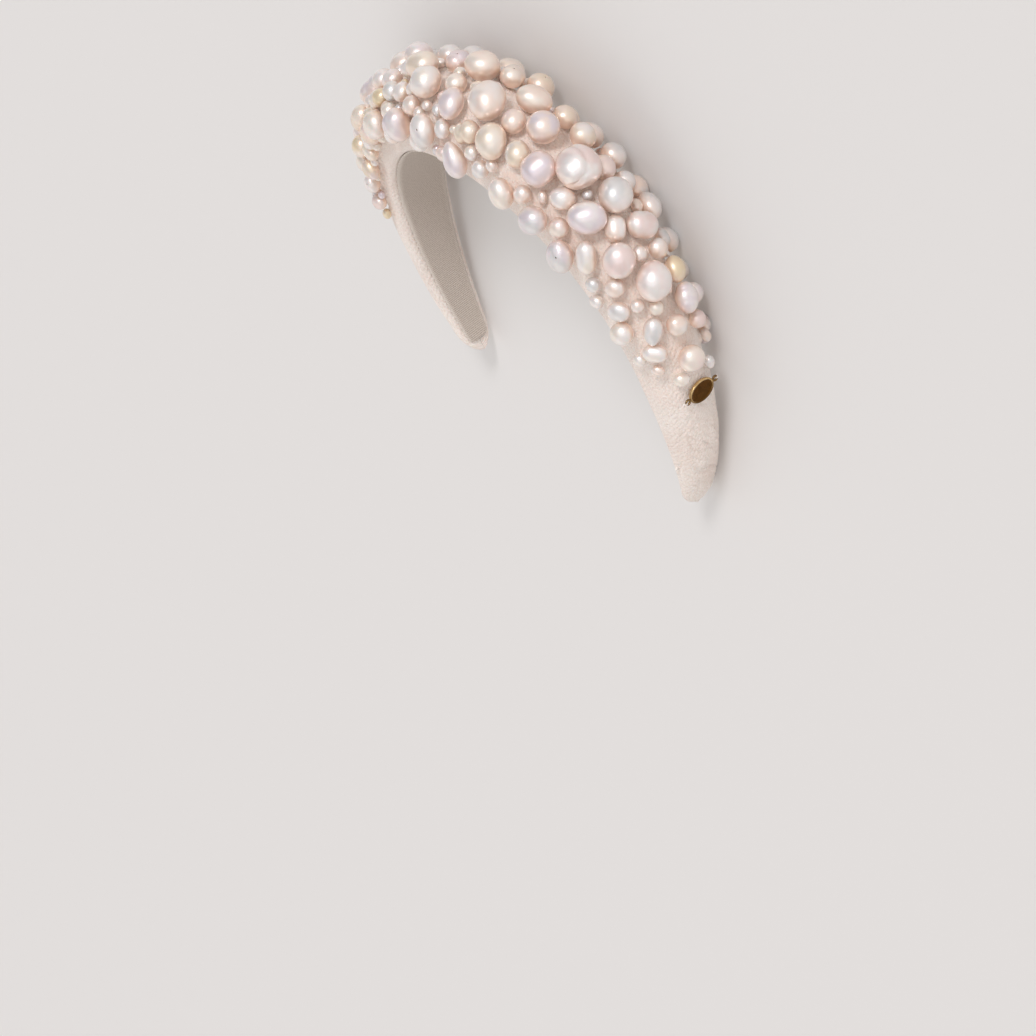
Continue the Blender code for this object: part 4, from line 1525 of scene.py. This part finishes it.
@dataclass
class RibbonLining:
    """The ribbon on the band's inner face, a little wavy between its stitches."""

    laying: Laying
    clearance: float = 0.3
    thickness: float = 0.8
    margin: float = 2.6
    end_margin: float = 6.0
    stations: int = 420
    columns: int = 20
    wave: float = 0.1

    def build(self) -> Object:
        """Makes the ribbon.

        Returns:
            The piece, which stands for the lining.
        """
        reach = BAND.half_length - self.end_margin
        along = np.linspace(-reach, reach, self.stations)
        half = BAND.section(along)[0] - self.margin
        end = np.clip((reach - np.abs(along)) / 3.0, 0, 1)
        half = half - 2.0 * (1 - np.sqrt(np.clip(1 - (1 - end) ** 2, 0, 1)))
        half = half + 0.12 * np.sin(along * 1.9) * np.sin(along * 0.33)
        over = np.linspace(-1, 1, self.columns)
        out = half[:, None] * over
        top, bottom = -self.clearance - 0.02, -self.clearance - self.thickness
        lift = self.wave * np.sin(along[:, None] * 0.8 + 2.2 * over) * (0.3 + 0.7 * np.abs(over) ** 3)
        edge = 0.32 * np.clip((np.abs(over) - 0.9) / 0.1, 0, 1)
        inner = BAND.place(along[:, None], bottom + lift * 0.6 + edge, out)
        outer = BAND.place(along[:, None], np.full_like(out, top), out[:, ::-1])
        points = np.concatenate([inner, outer], axis=1)
        rows, columns = points.shape[:2]
        faces: Faces = [tuple(f[::-1]) for f in grid_faces(rows, columns)]
        faces += [tuple(range(columns)), tuple(range((rows - 1) * columns, rows * columns))[::-1]]
        width = np.concatenate([over, over[::-1]])
        cloth = np.stack(np.broadcast_arrays(along[:, None], half[:, None] * width, 0.0), axis=-1)
        selvedge = np.tile(np.clip((np.abs(width) - 0.86) / 0.08, 0, 1), rows)
        made = mesh_piece(
            "ribbon_lining",
            self.laying.points(points.reshape(-1, 3)),
            faces,
            [RIBBON],
            {"cloth": ("FLOAT_VECTOR", cloth.reshape(-1, 3) * MM), "selvedge": ("FLOAT", selvedge)},
        )
        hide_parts("lining")
        return made


# The tag plate


@dataclass
class TagPlate:
    """The bare oval plate: a bevelled rim round a sunk face, with a ring at each end."""

    laying: Laying
    along: float = 112.0
    across: float = -2.0
    length: float = 11.2
    width: float = 8.2
    thickness: float = 1.1
    sunk: float = 0.35
    crowned: float = 0.06  # mm that the sunk face rises in its middle
    ring_place: float = 6.75  # of a ring's middle from the plate's
    ring_radius: float = 0.85
    ring_wire: float = 0.42
    turn: float = math.radians(-3.0)
    clearance: float = 0.3
    segments: int = 96

    def axes(self) -> tuple[Array, Array]:
        """The plate's middle in mm, and its directions of length, width and outwards as rows."""
        point, forward, backward, out = BAND.face_frame(self.along, self.across)
        long = backward * math.cos(self.turn) + forward * math.sin(self.turn)
        long /= np.linalg.norm(long)
        return point + out * self.clearance, np.stack([long, np.cross(out, long), out])

    def profile(self) -> tuple[list[tuple[float, float]], int]:
        """Inset from the rim and height of the turned profile, and where the face starts."""
        high, low = self.thickness, self.thickness - self.sunk
        rim = [
            (0.5, 0.0),
            (0.14, 0.0),
            (0.0, 0.16),
            (0.0, high - 0.34),
            (0.1, high - 0.14),
            (0.28, high),
            (0.5, high - 0.02),
        ]
        inside = [(0.64, high - 0.1), (0.72, low + 0.05), (0.82, low)]
        return rim + inside, len(rim) + 1

    def build(self) -> Object:
        """Makes the plate with its rings.

        Returns:
            The piece, which stands for the plate.
        """
        profile, face_from = self.profile()
        turn = np.arange(self.segments) * 2 * math.pi / self.segments
        circle = np.stack([np.cos(turn), np.sin(turn), np.ones_like(turn)], axis=-1)
        long, wide = self.length / 2, self.width / 2
        rows = [circle * (long - inset, wide - inset, up) for inset, up in profile]
        inset, low = profile[-1]
        for share in (0.75, 0.5, 0.25):
            up = low + self.crowned * (1 - share**2)
            rows.append(circle * ((long - inset) * share, (wide - inset) * share, up))
        local = np.concatenate([*rows, np.array([[0, 0, low + self.crowned], [0, 0, 0.0]])])
        faces: Faces = list(grid_faces(len(rows), self.segments))
        last, top, bottom = (len(rows) - 1) * self.segments, len(local) - 2, len(local) - 1
        for i in range(self.segments):
            j = (i + 1) % self.segments
            faces += [(last + i, last + j, top), (j, i, bottom)]
        browned = [i >= face_from * self.segments for i in range((len(rows) - 1) * self.segments)]
        browned += [True, False] * self.segments
        for side in (-1, 1):
            ring, skin = self.ring(side * self.ring_place)
            faces += [tuple(len(local) + corner for corner in face) for face in skin]
            browned += [False] * len(skin)
            local = np.concatenate([local, ring])
        origin, axes = self.axes()
        # painted dark reflection: darker towards one side of the plate, and on the rings
        painted_dark_reflection = np.clip(0.45 - 0.75 * local[:, 1] / (self.width / 2), 0, 0.95)
        painted_dark_reflection[np.abs(local[:, 0]) > self.length / 2] = 0.75
        kept = {"painted_dark_reflection": ("FLOAT", painted_dark_reflection)}
        place = self.laying.points(origin + local @ axes)
        made = mesh_piece("oval_tag_plate", place, faces, [BRASS, PLATE_FACE], kept)
        made.data.polygons.foreach_set("material_index", np.array(browned, np.int32))
        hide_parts("tag_plate")
        return made

    def ring(self, middle: float, steps: int = 40, sides: int = 14) -> tuple[Array, Faces]:
        """A round-wire ring lying flat at one end of the plate."""
        around = np.arange(steps)[:, None] * 2 * math.pi / steps
        girth = np.arange(sides)[None] * 2 * math.pi / sides
        reach = self.ring_radius + self.ring_wire * np.cos(girth)
        up = self.thickness / 2 + self.ring_wire * np.sin(girth)
        wire = middle + reach * np.cos(around), reach * np.sin(around), up
        points = np.stack(np.broadcast_arrays(*wire), axis=-1).reshape(-1, 3)
        faces = []
        for i in range(steps):
            for j in range(sides):
                after, beside = (i + 1) % steps, (j + 1) % sides
                faces.append((i * sides + j, after * sides + j, after * sides + beside, i * sides + beside))
        return points, faces


# Sewing


@dataclass
class Sewing:
    """The hand stitches: a run along each edge of the ribbon, and a few through the plate's rings."""

    laying: Laying
    plate: TagPlate
    spacing: float = 3.1
    stitch: float = 1.5
    thickness: float = 0.32
    nub: float = 151.0
    knot_radius: float = 0.42

    def tree(self) -> Tree:
        """Nodes that lay a stitch at even steps along each line."""
        tree = bpy.data.node_groups.new("running_stitches", "GeometryNodeTree")
        for name, kind in (
            ("Geometry", "NodeSocketGeometry"),
            ("Spacing", "NodeSocketFloat"),
            ("Stitch Length", "NodeSocketFloat"),
            ("Thread Thickness", "NodeSocketFloat"),
            ("Slant", "NodeSocketFloat"),
            ("Thread", "NodeSocketMaterial"),
        ):
            tree.interface.new_socket(name, in_out="INPUT", socket_type=kind)
        tree.interface.new_socket("Geometry", in_out="OUTPUT", socket_type="NodeSocketGeometry")
        given = add(tree, "NodeGroupInput").outputs
        line = add(tree, "GeometryNodeMeshToCurve", {"Mesh": given["Geometry"]})
        evenly = add(
            tree,
            "GeometryNodeResampleCurve",
            {"Curve": line.outputs[0], "Length": given["Spacing"]},
            mode="LENGTH",
        )
        ball = add(tree, "GeometryNodeMeshUVSphere", {"Segments": 8, "Rings": 6, "Radius": 0.5})
        size = add(
            tree,
            "ShaderNodeCombineXYZ",
            {0: given["Stitch Length"], 1: given["Thread Thickness"], 2: given["Thread Thickness"]},
        )
        slant = add(tree, "ShaderNodeCombineXYZ", {2: given["Slant"]})
        shaped = add(
            tree, "GeometryNodeTransform", {"Geometry": ball.outputs["Mesh"], "Scale": size.outputs[0]}
        )
        slanted = add(
            tree, "GeometryNodeTransform", {"Geometry": shaped.outputs[0], "Rotation": slant.outputs[0]}
        )
        tangent = add(tree, "GeometryNodeInputTangent")
        rise = add(tree, "GeometryNodeInputNamedAttribute", {"Name": "rise"}, data_type="FLOAT_VECTOR")
        along = add(tree, "FunctionNodeAlignRotationToVector", {"Vector": tangent.outputs[0]}, axis="X")
        facing = add(
            tree,
            "FunctionNodeAlignRotationToVector",
            {"Rotation": along.outputs[0], "Vector": rise.outputs["Attribute"]},
            axis="Z",
            pivot_axis="X",
        )
        placed = add(
            tree,
            "GeometryNodeInstanceOnPoints",
            {"Points": evenly.outputs[0], "Instance": slanted.outputs[0], "Rotation": facing.outputs[0]},
        )
        real = add(tree, "GeometryNodeRealizeInstances", {"Geometry": placed.outputs["Instances"]})
        smooth = add(tree, "GeometryNodeSetShadeSmooth", {0: real.outputs[0]})
        dressed = add(
            tree, "GeometryNodeSetMaterial", {"Geometry": smooth.outputs[0], "Material": given["Thread"]}
        )
        add(tree, "NodeGroupOutput", {"Geometry": dressed.outputs[0]})
        return tree

    def lines(self, lining: RibbonLining) -> tuple[Array, Array, list[tuple[int, int]]]:
        """The ribbon's two edges.

        Args:
            lining: The ribbon.

        Returns:
            Points in mm, the way out of the cloth at each, and edges.
        """
        reach = BAND.half_length - lining.end_margin - 3
        along = np.linspace(-reach, reach, 260)
        half = BAND.section(along)[0] - lining.margin
        _, _, heading = BAND.inner_curve(along)
        inward = -np.stack([np.sin(heading), np.cos(heading), 0 * heading], axis=-1)
        points = [BAND.place(along, np.full_like(along, -0.62), side * (half + 0.1)) for side in (-1, 1)]
        count = len(along)
        edges = [(start + i, start + i + 1) for start in (0, count) for i in range(count - 1)]
        return np.concatenate(points), np.concatenate([inward, inward]), edges

    def build(self, lining: RibbonLining) -> Object:
        """Sews the ribbon's edges."""
        points, rise, edges = self.lines(lining)
        carrier = bpy.data.meshes.new("stitch_lines")
        carrier.from_pydata(self.laying.points(points).tolist(), edges, [])
        give(carrier, "rise", "FLOAT_VECTOR", rise @ self.laying.turn.T)
        return grown(
            "ribbon_stitches",
            carrier,
            self.tree(),
            {
                "Spacing": self.spacing * MM,
                "Stitch Length": self.stitch * MM,
                "Thread Thickness": self.thickness * MM,
                "Slant": math.radians(38),
                "Thread": THREAD.material(),
            },
        )

    def ties(self) -> Object:
        """Sews the plate's rings down with a few turns of thread each."""
        origin, axes = self.plate.axes()
        bow = [(-0.75, 0.7, 0.0), (-0.5, 0.9, 0.75), (0.02, 1.0, 1.12), (0.52, 1.0, 0.6), (0.8, 1.1, -0.3)]
        strands = []
        for side in (-1, 1):
            far = side * (self.plate.ring_place + self.plate.ring_radius)
            for shift in (-0.22, 0.22):
                strands.append(np.array([(far + side * out, shift * apart, up) for out, apart, up in bow]))
        return self.strands("plate_ties", [origin + strand @ axes for strand in strands], 0.12, "plate")

    def knots(self) -> Object:
        """The sewing's ends at the shown tip: a nub on its front edge and a stitch over the point."""
        half, _, side = (float(size) for size in BAND.section(np.array(self.nub)))
        nub = [(-0.9, -0.1, 0.3), (-0.4, 0.75, 0.2), (0.2, 0.85, 0.1), (0.8, -0.1, 0.2)]
        over = [(-0.6, -1.2, 1.6), (0.45, -0.6, 2.0), (0.6, 0.4, 2.0), (-0.5, 1.2, 1.7)]
        lines = [
            np.array([BAND.place(self.nub + run, side + up, half + out) for run, out, up in nub]),
            np.array([BAND.place(BAND.half_length + run, up, out) for run, out, up in over]),
        ]
        return self.strands("end_knots", lines, self.knot_radius, "cover")

    def strands(self, name: str, lines: Sequence[Array], radius: float, slot: str, sides: int = 8) -> Object:
        """Tubes of thread along smoothed lines.

        Args:
            name: The piece's name.
            lines: Points in mm that each thread follows.
            radius: The thread's radius in mm.
            slot: Not used.
            sides: Sides of the tube.

        Returns:
            The piece.
        """
        points: list[Array] = []
        faces: Faces = []
        for line in lines:
            share = np.linspace(0, 1, len(line))
            fine = np.linspace(0, 1, 4 * len(line))
            path = np.stack([np.interp(fine, share, line[:, k]) for k in range(3)], axis=-1)
            for _ in range(3):
                path[1:-1] = (path[:-2] + 2 * path[1:-1] + path[2:]) / 4
            forward = np.gradient(path, axis=0)
            forward /= np.linalg.norm(forward, axis=1, keepdims=True)
            first = np.cross(forward, forward[0] + np.array([0.3, 0.5, 0.7]))
            first /= np.linalg.norm(first, axis=1, keepdims=True)
            second = np.cross(forward, first)
            turn = (np.arange(sides) * 2 * math.pi / sides)[None, :, None]
            start = sum(len(p) for p in points)
            tube = path[:, None] + radius * (first[:, None] * np.cos(turn) + second[:, None] * np.sin(turn))
            points.append(tube.reshape(-1, 3))
            faces += grid_faces(len(path), sides, start)
            faces.append(tuple(range(start, start + sides))[::-1])
            end = start + (len(path) - 1) * sides
            faces.append(tuple(range(end, end + sides)))
        return mesh_piece(name, self.laying.points(np.concatenate(points)), faces, [THREAD])


# The studio


@dataclass
class PhotoView:
    """The photograph's camera, in the worn band's frame: wearer's left, front and up."""

    azimuth: float = 0.91872
    elevation: float = 0.63362
    lean: float = 0.32
    focal: float = 2160.5
    frame_width: float = 1036.0
    place: tuple[float, float, float] = (555.35, 412.87, 344.74)

    def flat(self, worn: Sequence[float]) -> Array:
        """A vector of the worn frame in the flat band's frame."""
        left, front, up = worn
        cos, sin = math.cos(self.lean), math.sin(self.lean)
        return np.array([left, front * sin + up * cos, front * cos - up * sin])

    def build(self, laying: Laying) -> Object:
        """Sets the camera up.

        Args:
            laying: How the band lies.

        Returns:
            The camera.
        """
        ca, sa = math.cos(self.azimuth), math.sin(self.azimuth)
        ce, se = math.cos(self.elevation), math.sin(self.elevation)
        back = laying.direction(self.flat((ce * sa, ce * ca, se)))
        right = laying.direction(self.flat((ca, -sa, 0.0)))
        up = laying.direction(self.flat((-se * sa, -se * ca, ce)))
        camera = bpy.data.objects.new("photo_camera", bpy.data.cameras.new("photo_camera"))
        camera.data.sensor_width = 36.0
        camera.data.lens = self.focal / self.frame_width * 36.0
        camera.data.clip_start, camera.data.clip_end = 0.02, 60.0
        turn = Matrix((right, up, back)).transposed().to_4x4()
        camera.matrix_world = Matrix.Translation(Vector(laying.points(self.flat(self.place)))) @ turn
        bpy.context.scene.collection.objects.link(camera)
        bpy.context.scene.camera = camera
        return camera


@dataclass(frozen=True)
class Lamp:
    """A wide, even lamp: where it shines from, its strength in W/m2 and how wide it looks in degrees."""

    name: str
    shines_from: tuple[float, float, float]
    strength: float
    width: float
    colour: str = "#FFFFFF"
    mirrored: bool = True

    def build(self) -> None:
        """Adds the lamp."""
        data = bpy.data.lights.new(self.name, "SUN")
        data.energy = self.strength
        data.angle = math.radians(self.width)
        data.color = linear(self.colour)[:3]
        made = bpy.data.objects.new(self.name, data)
        made.rotation_euler = Vector(self.shines_from).to_track_quat("Z", "Y").to_euler()
        made.visible_glossy = self.mirrored
        bpy.context.scene.collection.objects.link(made)


@dataclass
class Studio:
    """A pale floor under a soft key and broad fills, two of which the pearls don't mirror."""

    floor_size: float = 40.0
    lamps: tuple[Lamp, ...] = (
        Lamp("key", (0.27, 0.87, 0.42), 1.15, 13.0, "#FEFDFF"),
        Lamp("soft_box", (0.45, 0.78, 0.44), 0.72, 80.0, "#F8F9FF"),
        Lamp("back", (-0.45, -0.8, 0.55), 0.85, 100.0, "#FFF8F3"),
        Lamp("top_fill", (-0.1, 0.15, 1.0), 0.4, 120.0, "#FFFDFB", mirrored=False),
        Lamp("low_fill", (0.76, -0.46, 0.46), 0.58, 110.0, "#FFF8F2"),
        Lamp("right_fill", (-0.9, 0.2, 0.4), 0.3, 90.0, "#FFFCF9", mirrored=False),
    )
    world_colour: str = "#F1F0F2"
    world_power: float = 0.38

    def build(self) -> None:
        """Makes the floor, the lamps and the surrounding light."""
        half = self.floor_size / 2
        mesh = bpy.data.meshes.new("studio_floor")
        corners = [(-half, -half, 0), (half, -half, 0), (half, half, 0), (-half, half, 0)]
        mesh.from_pydata(corners, [], [(0, 1, 2, 3)])
        mesh.materials.append(FLOOR.material())
        floor = bpy.data.objects.new("studio_floor", mesh)
        bpy.context.scene.collection.objects.link(floor)
        for lamp in self.lamps:
            lamp.build()
        world = bpy.data.worlds.new("studio_light")
        world.use_nodes = True
        sky = world.node_tree.nodes["Background"]
        sky.inputs["Color"].default_value = linear(self.world_colour)
        sky.inputs["Strength"].default_value = self.world_power
        bpy.context.scene.world = world
        bpy.context.scene.view_settings.view_transform = "Standard"


def main() -> None:
    """Builds every sub-assembly in turn."""
    chart = PearlChart()
    chart.plan()
    mids = len(chart.field_pearls) + len(chart.fillers)
    log.info("%d main, %d mid, %d fine pearls", len(chart.mains), mids, len(chart.fine))
    laying = Laying.from_pearls(chart.axes(chart.mains)[0])
    PhotoView().build(laying)
    SilkCover(chart, laying).build()
    lining = RibbonLining(laying)
    lining.build()
    Pearls(chart, laying).build()
    plate = TagPlate(laying)
    plate.build()
    sewing = Sewing(laying, plate)
    sewing.build(lining)
    sewing.ties()
    sewing.knots()
    Studio().build()


if __name__ == "__main__":
    logging.basicConfig(level=logging.INFO, format="%(message)s", stream=sys.stdout)
    main()
